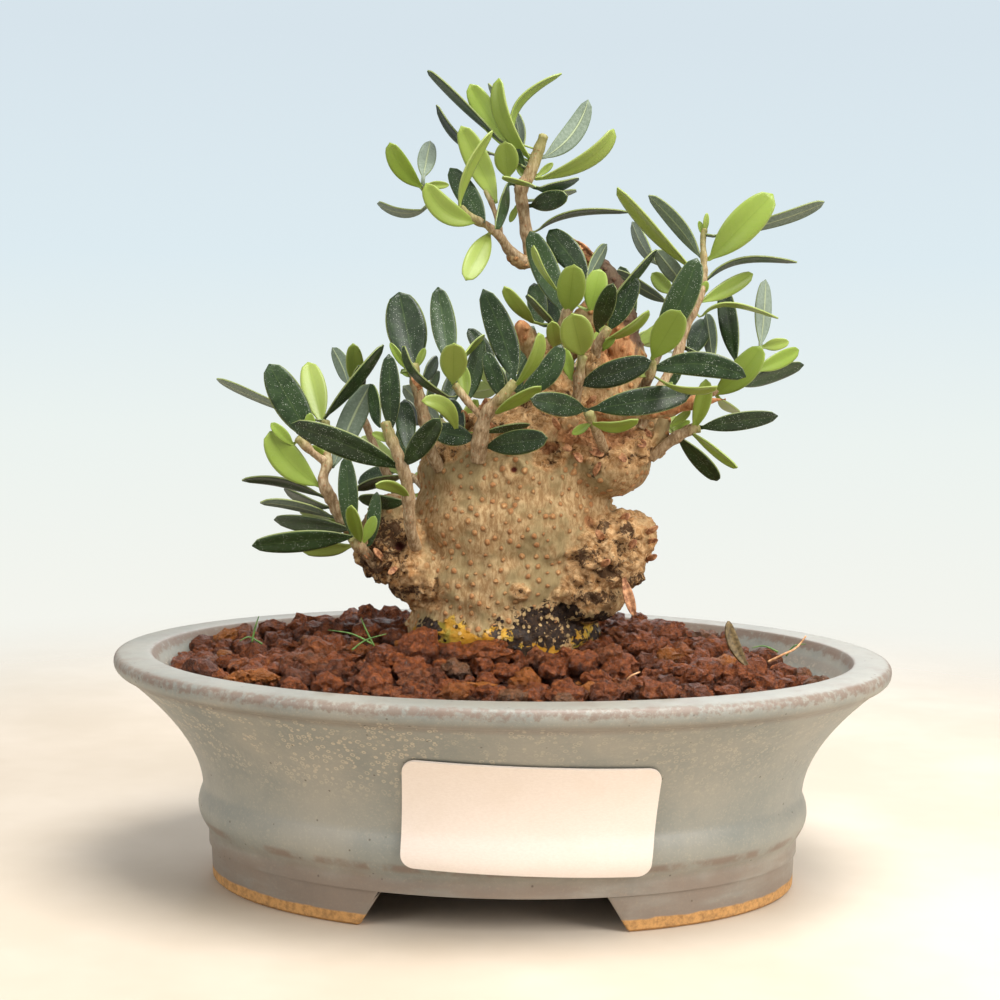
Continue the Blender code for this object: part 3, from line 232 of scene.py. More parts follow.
def pieceFrom(name, bm, *materials):
    mesh = bpy.data.meshes.new(name)
    bm.to_mesh(mesh)
    bm.free()
    piece = bpy.data.objects.new(name, mesh)
    scene.collection.objects.link(piece)
    for material in materials:
        mesh.materials.append(material)
    mesh.shade_smooth()
    return piece


# Puts a piece's modifiers into its mesh
def settleModifiers(piece):
    bpy.context.view_layer.update()
    graph = bpy.context.evaluated_depsgraph_get()
    mesh = bpy.data.meshes.new_from_object(piece.evaluated_get(graph))
    piece.modifiers.clear()
    old, piece.data = piece.data, mesh
    bpy.data.meshes.remove(old)


def addTo(bm, piece):
    bm.from_mesh(piece.data)
    old = piece.data
    bpy.data.objects.remove(piece)
    bpy.data.meshes.remove(old)


def thicken(piece, wall, offset=-1.0):
    shell = piece.modifiers.new("thickness", "SOLIDIFY")
    shell.thickness = wall * mm
    shell.offset = offset
    return shell


def dress(piece, slotName, *replaced):
    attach(piece, "root")
    if replaced:
        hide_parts(*replaced)
    print(f"{piece.name}: {sum(len(p.vertices) - 2 for p in piece.data.polygons)} triangles")


def repaint(node, material):
    for holder in cadNodes[node].material_slots:
        holder.material = material


# A flat grid rolled into a tube along points; the number of faces round it is sides
def addTube(bm, path, radii, sides=10, marks=None):
    frames = []
    side = None
    for k, point in enumerate(path):
        along = (path[min(k + 1, len(path) - 1)] - path[max(k - 1, 0)]).normalized()
        side = along.orthogonal() if side is None else side - along * side.dot(along)
        side = side.normalized()
        frames.append((point, side, along.cross(side)))
    steps = len(path) - 1
    verts = bmesh.ops.create_grid(bm, x_segments=sides, y_segments=steps, size=1.0)["verts"]
    for vert in verts:
        angle = (vert.co.x + 1) * math.pi
        k = round((vert.co.y + 1) / 2 * steps)
        point, side, up = frames[k]
        reach = radii[k]
        vert.co = point + (side * math.cos(angle) + up * math.sin(angle)) * reach
        if marks:
            for layer, value in marks.items():
                vert[layer] = value[k] if isinstance(value, list) else value
    bmesh.ops.remove_doubles(bm, verts=verts, dist=0.004 * mm)
    verts = [vert for vert in verts if vert.is_valid]
    rim = [edge for edge in {e for v in verts for e in v.link_edges} if edge.is_boundary]
    bmesh.ops.holes_fill(bm, edges=rim, sides=0)
    return verts


# More points along a Catmull-Rom curve through the given ones
def smoothPath(path, radii, steps):
    fine, sizes = [], []
    for i in range(len(path) - 1):
        before = path[max(i - 1, 0)]
        after = path[min(i + 2, len(path) - 1)]
        for k in range(steps):
            t = k / steps
            start, end = path[i], path[i + 1]
            fine.append(0.5 * (2 * start + (end - before) * t
                               + (2 * before - 5 * start + 4 * end - after) * t * t
                               + (3 * start - before - 3 * end + after) * t ** 3))
            sizes.append(radii[i] + (radii[i + 1] - radii[i]) * t)
    return fine + [path[-1]], sizes + [radii[-1]]


# The same for sight points whose fourth number is the radius in mm
def sightPath(points, steps):
    path = [sight(*point[:3]) for point in points]
    return smoothPath(path, [point[3] * mm for point in points], steps)


# Pot

pot = {
    "length": 160.0, "width": 126.0, "height": 47.0,
    "skew": 0.015,  # how far the body leans out to the right below its rim
    "lip": 8.05, "rim": 4.5, "flare": 17.9, "waist": 19.2,
    "beadFoot": 10.2, "beadSwell": 1.5, "base": 19.0,
    "footHeight": 7.2, "footWidth": 4.6, "footGapTop": 42.5, "footGapBottom": 51.0,
    "floor": 12.2, "drain": 12.0, "drainSpacing": 48.0,
    # inset and height of the inner wall above the floor, and of the rim outside its inner edge
    "inner": [(24.0, 18.2), (18.0, 32.2), (10.0, 42.7)], "floorInset": 27.0,
    "rimCurve": [(1.3, 47), (0.2, 46), (0.2, 44.2), (1.2, 43)],
    "steps": 176,  # faces round the rim
}


def skewAt(height):
    return pot["skew"] * (pot["height"] - height)


# Inset of the outside of the wall: a concave flare above the waist, a bead below it
def outerWall(height):
    if height >= pot["waist"]:
        rise = (height - pot["waist"]) / (pot["height"] - pot["rim"] - pot["waist"])
        return pot["flare"] - (pot["flare"] - 2.4) * min(rise, 1.0) ** 1.8
    down = (pot["waist"] - height) / (pot["waist"] - pot["beadFoot"])
    swell = pot["beadSwell"] * math.sin(math.pi * min(down, 1.0))
    return pot["flare"] + (pot["base"] - pot["flare"]) * min(down, 1.0) - swell


# Cuts the corners off a run of (inset, height) points
def rounded(points, rounds):
    for _ in range(rounds):
        cut = [points[0]]
        for (a, b), (c, d) in zip(points, points[1:]):
            cut += [(a * 0.75 + c * 0.25, b * 0.75 + d * 0.25),
                    (a * 0.25 + c * 0.75, b * 0.25 + d * 0.75)]
        points = cut + [points[-1]]
    return points


def turnedOval(profile, closed):
    bm = bmesh.new()
    middle = pot["width"] / 2
    verts = [bm.verts.new(((middle - inset) * mm, 0, height * mm)) for inset, height in profile]
    edges = [bm.edges.new(pair) for pair in zip(verts, verts[1:])]
    if closed:
        edges.append(bm.edges.new((verts[-1], verts[0])))
    bmesh.ops.spin(bm, geom=verts + edges, cent=(0, 0, 0), axis=(0, 0, 1), angle=2 * math.pi,
                   steps=pot["steps"], use_merge=True)
    bmesh.ops.remove_doubles(bm, verts=bm.verts, dist=0.01 * mm)
    bmesh.ops.recalc_face_normals(bm, faces=bm.faces)
    draw = (pot["length"] - pot["width"]) / 2 * mm
    inset = bm.verts.layers.float.new("inset")
    for vert in bm.verts:
        flat = math.hypot(vert.co.x, vert.co.y)
        vert[inset] = middle - flat / mm
        if flat > 0.1 * mm:
            vert.co.x += draw * vert.co.x / flat
        vert.co.x += skewAt(vert.co.z / mm) * mm
    return bm


def makeFeet(bm):
    base, wide = pot["base"], pot["footWidth"]
    ring = [(base + 0.4, 8.4), (base + 0.68, 0.5), (base + 1.2, 0), (base + wide - 0.5, 0),
            (base + wide + 0.03, 0.5), (base + wide + 0.4, 8.4)]
    slope = (pot["footGapTop"] - pot["footGapBottom"]) / 2 / pot["footHeight"]
    for side in (-1, 1):
        foot = turnedOval(ring, closed=True)
        bmesh.ops.bisect_plane(foot, geom=foot.verts[:] + foot.edges[:] + foot.faces[:],
                               plane_co=(side * pot["footGapBottom"] / 2 * mm, 0, 0),
                               plane_no=Vector((-side, 0, slope)).normalized(), clear_outer=True)
        ends = [edge for edge in foot.edges if edge.is_boundary]
        bmesh.ops.holes_fill(foot, edges=ends, sides=0)
        bmesh.ops.bevel(foot, geom=ends, offset=0.45 * mm, segments=2, profile=0.5,
                        affect="EDGES", material=-1)
        bmesh.ops.recalc_face_normals(foot, faces=foot.faces)
        addTo(bm, pieceFrom("foot", foot))


def makePot(finish):
    axis, lip, under = pot["width"] / 2, pot["lip"], pot["footHeight"]
    curve = [(pot["floorInset"], pot["floor"]), *pot["inner"], (lip, 46.5), (lip - 0.6, 47),
             *pot["rimCurve"]]
    wall = [(outerWall(h / 4), h / 4) for h in range(170, 28, -3)]  # in steps of 0.75 mm
    profile = ([(axis, pot["floor"])] + rounded(curve + [wall[0]], 3)[:-1] + wall
               + [(outerWall(under) + 0.7, under), (axis, under)])
    bowl = pieceFrom("bowl", turnedOval(profile, closed=False))
    cutters = bmesh.new()
    radius = pot["drain"] / 2 * mm
    for side in (-1, 1):
        place = Matrix.Translation((side * pot["drainSpacing"] / 2 * mm, 0, 10 * mm))
        bmesh.ops.create_cone(cutters, cap_ends=True, segments=40, radius1=radius, radius2=radius,
                              depth=20 * mm, matrix=place)
    drains = pieceFrom("drains", cutters)
    cut = bowl.modifiers.new("drains", "BOOLEAN")
    cut.object = drains
    cut.solver = "EXACT"
    settleModifiers(bowl)
    bpy.data.objects.remove(drains)
    bm = bmesh.new()
    addTo(bm, bowl)
    makeFeet(bm)
    piece = pieceFrom("glazed_pot", bm, finish)
    piece.data.set_sharp_from_angle(angle=math.radians(40))
    dress(piece, "glaze", "pot")


glaze = {
    "slate": paint(127, 131, 125), "celadon": paint(156, 152, 140), "mauve": paint(116, 92, 76),
    "cream": paint(198, 184, 160), "speck": paint(72, 60, 48), "clay": paint(196, 148, 90),
    "clayDark": paint(150, 112, 70), "worn": paint(116, 88, 72), "top": paint(140, 138, 130),
    "rough": 0.46,
}


# Blue-grey satin glaze: brown where it runs thin, cream rings where it pooled, bare clay below
def glazeFinish():
    f = Finish("celadon_glaze", glaze["rough"])
    body = f.blend(f.fade(f.cloud(22, 5, 0.6), 0.25, 0.78), glaze["slate"], glaze["celadon"])
    body = f.over(body, glaze["celadon"], f.fade(f.cloud(2.2, 6, 0.7), 0.45, 0.75), 0.25)
    body = f.over(body, glaze["cream"], f.fade(f.cloud(0.6, 3, 0.8), 0.5, 0.72), 0.22)
    height = f.part(f.place, "Z")
    wobble = f.scaled(f.cloud(9, 4, 0.6), 5 * mm, height)
    # it thins on the rim's edge, below the rim, in the crease over the feet and on the feet
    rimEdge = f.times(f.fade(wobble, 46.2 * mm, 47.6 * mm),
                      f.fade(f.cloud(3.5, 5, 0.65, f.stretched(0.5, 0.5, 1.2)), 0.46, 0.7))
    low = f.times(f.fadeOut(wobble, 10.8 * mm, 15.4 * mm),
                  f.fade(f.cloud(9, 5, 0.6, f.stretched(0.4, 0.4, 1.6)), 0.15, 0.62))
    under = f.fadeOut(f.apart(height, 42.6 * mm), 0.4 * mm, 1.5 * mm)
    crease = f.times(f.fadeOut(f.apart(height, 12.4 * mm), 0.3 * mm, 1.3 * mm),
                     f.fade(f.cloud(6, 4, 0.6), 0.40, 0.6))
    for tint, mask, share in (("mauve", rimEdge, 0.45), ("mauve", low, 0.65), ("mauve", under, 0.3),
                              ("worn", crease, 0.6)):
        body = f.over(body, glaze[tint], mask, share)
    # worn brown edges of the rim
    inset = f.read("inset")
    outer = f.fadeOut(inset, 0.7, 2.4)
    inner = f.times(f.fade(inset, 7.0, 7.7), f.fadeOut(inset, 8.4, 10.0))
    edges = f.times(f.most(f.times(outer, 0.8), inner), f.fade(height, 43.6 * mm, 45.6 * mm))
    wear = f.fade(f.scaled(edges, 0.34, f.cloud(1.5, 6, 0.72)), 0.66, 0.82)
    body = f.over(body, glaze["worn"], wear, 0.6)
    body = f.over(body, glaze["top"], f.fade(height, 46.3 * mm, 46.9 * mm), 0.5)
    # cream rings on the upper wall, fewer to the right
    far, own = f.cells(1.12)
    ring = f.times(f.fadeOut(f.apart(far, 0.36), 0.05, 0.13), f.fade(f.part(own, "X"), 0.42, 0.5))
    zone = f.times(f.fade(wobble, 24 * mm, 38 * mm), f.fadeOut(wobble, 44.5 * mm, 46 * mm))
    leftward = f.scaled(f.fade(f.part(f.place, "X"), -30 * mm, 25 * mm), -0.6, 1.0)
    ring = f.times(ring, f.times(zone, leftward, f.fade(f.cloud(13, 3, 0.6), 0.36, 0.5)))
    body = f.over(body, glaze["cream"], ring, 0.75)
    body = f.over(body, glaze["speck"], f.fadeOut(f.cells(3.4)[0], 0.04, 0.09), 0.7)
    # bare clay along the bottom of the feet
    clayPart = f.fadeOut(f.scaled(f.cloud(4, 3), -0.9 * mm, height), 1.8 * mm, 2.2 * mm)
    brown = f.blend(f.fade(f.cloud(1.1, 5, 0.7), 0.35, 0.7), glaze["clay"], glaze["clayDark"])
    rough = f.scaled(clayPart, 0.5, f.scaled(f.cloud(2.5, 4), 0.16, glaze["rough"] - 0.08))
    f.relief(ring, 0.05, 0.5)
    f.relief(f.cloud(1.6, 4, 0.6), 0.05, 0.6)
    f.relief(f.cloud(9, 3, 0.5, f.stretched(0.25, 0.25, 2.5)), 0.12, 0.6)
    return f.finish(f.over(body, brown, clayPart), rough)


# Label and drain screens

label = {
    "left": -16.9, "right": 31.0, "bottom": 12.2, "top": 34.0,
    "leftLean": 0.6, "rightLean": 1.7,  # how far the lower corners lie to the left
    "tilt": 0.04, "corner": 2.6, "thickness": 0.4, "gap": 0.3,
}


def wallFront(x, height, proud):
    inset = outerWall(height) - proud
    share = (x - skewAt(height)) / (pot["length"] / 2 - inset)
    return Vector((x, -(pot["width"] / 2 - inset) * math.sqrt(1 - share ** 2), height)) * mm


def makeLabel(finish):
    bm = bmesh.new()
    bmesh.ops.create_grid(bm, x_segments=48, y_segments=36, size=1.0)
    high = (label["top"] - label["bottom"]) / 2
    centre = (label["left"] + label["right"]) / 2
    for vert in bm.verts:
        up = math.sin(vert.co.y * math.pi / 2)  # rows close up towards the rounded corners
        edge = high * (1 - abs(up))
        inward = max(1 - edge / label["corner"], 0.0)
        pull = label["corner"] * (1 - math.sqrt(max(1 - inward ** 2, 0.0)))
        x = centre + vert.co.x * ((label["right"] - label["left"]) / 2 - pull)
        height = (label["bottom"] + label["top"]) / 2 + up * high - label["tilt"] * (x - centre)
        lean = label["rightLean"] if vert.co.x > 0 else label["leftLean"]
        x -= lean * abs(vert.co.x) * (1 - up) / 2
        vert.co = wallFront(x, height, 2 * label["gap"] + label["thickness"])
    piece = pieceFrom("paper_label", bm, finish)
    outward = piece.data.polygons[0].normal.y < 0
    thicken(piece, label["thickness"], -1.0 if outward else 1.0)
    settleModifiers(piece)
    piece.data.set_sharp_from_angle(angle=math.radians(50))
    dress(piece, "label_paper", "label")


def paperFinish():
    f = Finish("cream_paper", 0.55, 0.35)
    fibre = f.cloud(0.7, 5, 0.7, f.stretched(1, 1, 2.2))
    colour = f.blend(f.fade(fibre, 0.3, 0.7), paint(232, 219, 208), paint(238, 226, 216))
    colour = f.over(colour, paint(228, 214, 200), f.fade(f.cloud(9, 3), 0.45, 0.75), 0.35)
    f.relief(fibre, 0.02, 0.6)
    return f.finish(colour)


def screenFinish():
    f = Finish("black_mesh", 0.5)
    weave = f.add("TexWave", {"Vector": f.place, "Scale": 330.0}, bands_direction="X").outputs["Fac"]
    colour = f.blend(f.fade(weave, 0.2, 0.8), paint(28, 28, 29), paint(52, 53, 52))
    f.relief(weave, 0.2, 0.8)
    return f.finish(colour)


# Studio

studio = {
    "floorReach": 420.0, "floorDrop": 0.05, "skyLight": 0.40, "aim": 60.0,
    "floorFade": (0.15, 0.40),  # metres from the middle
    "sky": [(0.0, paint(253, 245, 234)), (0.34, paint(244, 245, 238)), (0.53, paint(236, 243, 240)),
            (0.72, paint(221, 235, 241)), (0.95, paint(215, 228, 236))],
    "lamps": [  # place in mm, width in mm, watts, tint
        ((200, -220, 820), 480, 10.4, (1.0, 0.985, 0.965)),
        ((-600, -600, 420), 500, 3.2, (1.0, 0.975, 0.94)),
        ((600, -420, 380), 360, 4.8, (1.0, 0.96, 0.91)),
        ((100, 650, 520), 600, 2.6, (0.93, 0.97, 1.0)),
    ],
}


def makeStudio():
    world = bpy.data.worlds.new("studio")
    scene.world = world
    world.use_nodes = True
    world.node_tree.nodes.clear()
    sky = Nodes(world.node_tree)
    # the eye sees pale blue above and warm white below, and the rest gets an even pale light
    rise = sky.part(sky.add("TexCoord").outputs["Generated"], "Z")
    rise = sky.add("MapRange", {"Value": rise, "From Min": -0.30, "From Max": 0.17}).outputs["Result"]
    seen = sky.add("Background", {"Color": sky.ramp(rise, *studio["sky"])})
    light = sky.add("Background", {"Color": (0.95, 0.97, 1.0, 1), "Strength": studio["skyLight"]})
    direct = sky.add("LightPath").outputs["Is Camera Ray"]
    both = sky.add("MixShader", {0: direct, 1: light.outputs[0], 2: seen.outputs[0]})
    sky.add("OutputWorld", {"Surface": both.outputs[0]})
    for place, width, watts, tint in studio["lamps"]:
        data = bpy.data.lights.new("softbox", "AREA")
        data.size = width * mm
        data.energy = watts
        data.color = tint
        lamp = bpy.data.objects.new("softbox", data)
        place = Vector(place) * mm
        aim = (Vector((0, 0, studio["aim"] * mm)) - place).to_track_quat("-Z", "Y")
        lamp.matrix_world = Matrix.Translation(place) @ aim.to_matrix().to_4x4()
        scene.collection.objects.link(lamp)
    scene.view_settings.view_transform = "Standard"
    scene.view_settings.look = "None"


# A pale round table top that fades out, so that it never ends in a line
def makeFloor():
    bm = bmesh.new()
    bmesh.ops.create_circle(bm, cap_ends=True, segments=96, radius=studio["floorReach"] * mm)
    bmesh.ops.translate(bm, verts=bm.verts, vec=(0, 0, -studio["floorDrop"] * mm))
    f = Finish("pale_table", 0.6, 0.3)
    colour = f.blend(f.fade(f.cloud(70, 4, 0.6), 0.35, 0.7), paint(193, 180, 162), paint(203, 191, 175))
    flat = f.add("VectorMath", {0: f.place, 1: (1, 1, 0)}, operation="MULTIPLY").outputs[0]
    far = f.add("VectorMath", {0: flat}, operation="LENGTH").outputs["Value"]
    f.feed(f.shader.inputs["Alpha"], f.fadeOut(far, *studio["floorFade"]))
    floor = pieceFrom("table_top", bm, f.finish(colour))


# Swellings: a sight point (x, y, depth in mm) and half sizes
swellings = [
    ((501, 652, 1), (21.6, 18.0, 15.0)),
    ((503, 615, 1), (18.8, 15.4, 13.0)),
    ((508, 575, 1), (19.8, 15.6, 15.0)),
    ((514, 520, 1), (20.8, 16.2, 17.0)),
    ((515, 475, 1), (20.0, 15.4, 12.0)),
    ((545, 440, 1), (18.5, 13.5, 10.0)),
    ((396, 544, -3), (8.8, 8.6, 7.6)),
    ((392, 520, -2), (5.5, 6.5, 5.5)),
    ((424, 568, -1), (8.0, 10.0, 8.0)),
    ((600, 556, -4), (9.6, 10.0, 8.6)),
    ((624, 536, -4), (6.8, 8.0, 5.6)),
    ((584, 590, -3), (8.6, 10.0, 7.0)),
    ((606, 462, -3), (9.4, 10.0, 7.0)),
    ((632, 447, -4), (5.6, 7.0, 4.6)),
    ((590, 410, 0), (9.6, 9.0, 9.0)),
    ((594, 362, -5), (3.2, 3.2, 4.6)),
    ((482, 456, -9), (3.4, 3.2, 4.0)),
    ((530, 540, 14), (15.0, 7.0, 15.0)),
    ((470, 500, 13), (10.0, 7.0, 10.0)),
]

# Limbs: sight points with the radius
limbs = [
    [(600, 440, 0, 7.5), (620, 395, 0, 5.4), (624, 338, 0, 3.6), (613, 289, 1, 2.4),
     (595, 262, 2, 1.9), (565, 252, 3, 2.0), (533, 262, 3, 2.1)],
    [(545, 440, -1, 7.0), (545, 395, -2, 5.2), (552, 360, -2, 4.0), (580, 325, -1, 3.2),
     (606, 300, 0, 2.8)],
    [(548, 370, -3, 3.4), (531, 345, -4, 2.4), (519, 322, -5, 1.2)],
    [(600, 400, -3, 5.0), (598, 368, -5, 3.0), (594, 346, -6, 2.2)],
    [(655, 452, -6, 2.6), (661, 430, -7, 1.8), (665, 415, -7, 1.5)],
    [(560, 452, -12, 2.6), (566, 432, -14, 2.0), (572, 410, -15, 1.7)],
    [(645, 395, 1, 3.6), (650, 410, 0, 4.0), (632, 440, -1, 5.0)],
    [(596, 416, -9, 1.9), (660, 410, -11, 1.6), (700, 401, -12, 1.35), (730, 399, -13, 0.5)],
    [(534, 263, 3, 2.0), (520, 261, 2, 1.9), (509, 251, 1, 1.3)],
]


# Trunk

trunk = {
    "voxel": 0.44, "smooth": 30, "lump": 0.7, "redDeep": 1.4,  # hollows deeper than this are red inside
    "poreTries": 16000, "poreShare": 0.88, "poreApart": 1.75, "poreRadius": (0.36, 0.68),
    "poreHigh": 0.28, "poreFar": 4.0,
    "footHalf": (20.1, 16.5), "footCentre": (0.4, 1.0), "footBottom": 35.4, "collar": 54.0,
    # patches in the picture: x, y, half width, half height
    "burl": [(388, 556, 36, 40), (616, 552, 46, 46), (588, 592, 30, 22), (622, 446, 42, 24),
             (588, 440, 30, 20), (548, 456, 20, 16), (480, 430, 60, 18), (598, 350, 12, 26),
             (540, 404, 60, 26), (424, 596, 22, 18), (520, 592, 10, 9), (440, 452, 20, 12)],
    "yellow": [(446, 642, 42, 24), (500, 636, 24, 12), (588, 636, 22, 16), (530, 652, 40, 10)],
    "black": [(540, 630, 46, 19), (512, 650, 24, 12), (556, 612, 34, 7), (428, 630, 10, 14),
              (602, 618, 22, 7), (612, 640, 24, 20)],
    # dark: painted shade under and at the edges of the burls and inside the small hollows
    "dark": [(386, 530, 20, 24), (584, 556, 14, 10), (400, 592, 22, 7), (600, 598, 30, 6),
             (376, 560, 18, 18), (608, 574, 12, 8), (626, 530, 8, 6), (604, 530, 8, 5), (600, 452, 8, 8),
             (552, 446, 10, 8), (638, 580, 10, 9), (592, 474, 5, 9), (366, 556, 8, 14)],
    "smoke": [(612, 272, 26, 22), (640, 300, 16, 60)],  # blackish bark on the arch
    "rust": [(616, 340, 22, 34), (640, 408, 62, 8), (700, 402, 34, 9), (596, 434, 46, 14),
             (583, 260, 14, 12), (520, 328, 12, 14), (548, 448, 12, 7), (590, 520, 6, 5)],
    # x, y, radius in the picture and depth or height in mm
    "hollows": [(401, 547, 9, 2.6), (514, 469, 5, 1.5), (552, 446, 6, 1.4), (600, 452, 6, 1.4),
                (590, 520, 6, 0.8), (574, 560, 8, 1.0), (596, 472, 4, 1.2)],
    "rings": [(514, 469, 10, 0.6), (588, 558, 8, 1.0), (520, 592, 5, 0.8)],
}


def patch(name, x, y, wobble):
    best = np.zeros(len(x))
    for cx, cy, wide, high in trunk[name]:
        far = np.hypot((x - cx) / wide, (y - cy) / high) + wobble
        best = np.maximum(best, np.clip(1.6 - 1.25 * far, 0, 1))
    return best


# Raised pores of the calm bark: the distance to the nearest one, in its own radii, and its tone
def poresOn(q):
    draw = random.Random("pores")
    apart = trunk["poreApart"]
    taken = {}
    seeds = []
    for i in draw.sample(range(len(q)), min(len(q), trunk["poreTries"])):
        cell = tuple(int(v // apart) for v in q[i])
        around = itertools.product(*[(c - 1, c, c + 1) for c in cell])
        near = [taken[key] for key in around if key in taken]
        if all(np.linalg.norm(q[i] - other) > apart * draw.uniform(0.75, 1.25) for other in near):
            taken[cell] = q[i]
            if draw.random() < trunk["poreShare"]:
                seeds.append(q[i])
    tree = KDTree(len(seeds))
    for i, place in enumerate(seeds):
        tree.insert(place, i)
    tree.balance()
    radii = [draw.uniform(*trunk["poreRadius"]) for _ in seeds]
    tones = [draw.random() for _ in seeds]
    far, tone = np.zeros(len(q)), np.zeros(len(q))
    for i, p in enumerate(q):
        _, which, gap = tree.find(Vector(p) + noise.noise_vector(Vector(p) / 0.7) * 0.22)
        far[i], tone[i] = min(gap / radii[which], trunk["poreFar"]), tones[which]
    return far, tone


def woodBase():
    bm = bmesh.new()
    for centre, halves in swellings:
        made = bmesh.ops.create_icosphere(bm, subdivisions=4, radius=1.0)["verts"]
        bmesh.ops.scale(bm, vec=[half * mm for half in halves], verts=made)
        bmesh.ops.translate(bm, vec=sight(*centre), verts=made)
    for points in limbs:
        addTube(bm, *sightPath(points, 4), 16)
    bmesh.ops.recalc_face_normals(bm, faces=bm.faces)
    wood = pieceFrom("gnarled_trunk", bm)
    skin = wood.modifiers.new("skin", "REMESH")
    skin.mode = "VOXEL"
    skin.voxel_size = trunk["voxel"] * mm
    settleModifiers(wood)
    relax = wood.modifiers.new("relax", "SMOOTH")
    relax.factor = 0.5
    relax.iterations = trunk["smooth"]
    settleModifiers(wood)
    return wood


def vectorsOf(things, name):
    flat = np.zeros(len(things) * 3)
    things.foreach_get(name, flat)
    return flat.reshape(-1, 3)


# Lumps, burls, cracks, hollows and the painted masks, worked out at every point of the skin
def makeTrunk(finish):
    wood = woodBase()
    mesh = wood.data
    points, normals = vectorsOf(mesh.vertices, "co"), vectorsOf(mesh.vertex_normals, "vector")
    x, y = seenAt(points)
    q = points / mm

    def field(size, make=noise.noise):
        return np.array([make(p) for p in q / size])

    wide, fine, knob = field(4.0), field(1.5), field(3.2)
    lump = field(7.0, lambda p: noise.fractal(p, 1.0, 2.0, 3))
    ridge = field(4.2, lambda p: noise.ridged_multi_fractal(p, 0.9, 2.1, 4, 1.0, 2.0))
    torn = field(2.6, lambda p: noise.turbulence(p, 4, True))
    torn = (torn - torn.mean()) / torn.std()
    ridge = (ridge - ridge.mean()) / ridge.std()
    warp = 0.35 * wide + 0.2 * fine
    masks = {name: patch(name, x, y, warp) for name in ("burl", "dark", "smoke", "rust")}
    masks["yellow"] = patch("yellow", x, y, 0.3 * wide + 0.25 * fine)
    masks["black"] = patch("black", x, y, 0.5 * wide + 0.5 * fine)
    burl = masks["burl"]
    rise = trunk["lump"] * lump + 0.35 * knob + 0.10 * fine
    rough = np.clip(0.42 * ridge + 0.36 * torn + 0.5 * fine, -1.2, 1.3)
    rise += burl * rough + np.clip(masks["black"] - masks["yellow"], 0, 1) * (0.5 * fine + 0.16 * torn)
    pore, masks["poreTone"] = poresOn(q)
    rise += trunk["poreHigh"] * (1 - 0.8 * burl) * np.exp(-(pore ** 2) * 1.3)
    front = normals[:, 1] < 0.2
    pit = np.zeros(len(q))
    for cx, cy, reach, deep in trunk["hollows"]:
        near = np.exp(-((x - cx) ** 2 + (y - cy) ** 2) / (2 * (reach * 0.62) ** 2)) * front
        rise -= deep * near
        if deep > trunk["redDeep"]:
            pit = np.maximum(pit, near)
    for cx, cy, reach, high in trunk["rings"]:
        far = np.hypot(x - cx, y - cy)
        rise += high * np.exp(-((far - reach) / (0.32 * reach)) ** 2) * front
    points = points + normals * rise[:, None] * mm
    footInto(points)
    mesh.vertices.foreach_set("co", points.ravel())
    # hollow is painted shade in the low parts of the burls' relief
    masks.update(pore=pore, pit=pit, hollow=np.clip(burl * (-0.15 - rough) * 1.1, 0, 1))
    for name, value in masks.items():
        mesh.attributes.new(name, "FLOAT", "POINT").data.foreach_set("value", value.astype(np.float32))
    mesh.update()
    mesh.materials.clear()
    mesh.materials.append(finish)
    mesh.shade_smooth()
    dress(wood, "bark", "trunk")
    return wood


# Draws the low part in to the oval plug that stands in the soil
def footInto(points):
    half, centre = trunk["footHalf"], trunk["footCentre"]
    over = np.hypot(*[(points[:, axis] / mm - centre[axis]) / half[axis] for axis in (0, 1)])
    height = points[:, 2] / mm
    room = 1.0 + 3.0 * np.clip((height - trunk["collar"] + 2.2) / 2.4, 0, 1) ** 2
    pull = np.where(over > room, room / np.maximum(over, 1e-6), 1.0)
    for axis in (0, 1):
        points[:, axis] = (centre[axis] + (points[:, axis] / mm - centre[axis]) * pull) * mm
    points[:, 2] = np.maximum(points[:, 2], trunk["footBottom"] * mm)


bark = {
    "tan": paint(143, 110, 70), "pale": paint(190, 162, 119), "olive": paint(136, 122, 84),
    "dot": paint(170, 120, 72), "dotPale": paint(206, 164, 112), "dotRed": paint(158, 102, 58),
    "dotRim": paint(96, 64, 34), "crevice": paint(56, 30, 15), "red": paint(86, 34, 20),
    "burl": paint(172, 116, 66), "burlTan": paint(192, 142, 88), "burlPale": paint(242, 202, 150),
    "rust": paint(150, 88, 48), "rustPale": paint(204, 148, 100), "smoke": paint(58, 44, 40),
    "yellow": paint(172, 122, 26), "yellowPale": paint(206, 166, 62), "moss": paint(108, 112, 38),
    "black": paint(30, 18, 10), "crust": paint(70, 48, 26), "grit": paint(186, 156, 108),
}


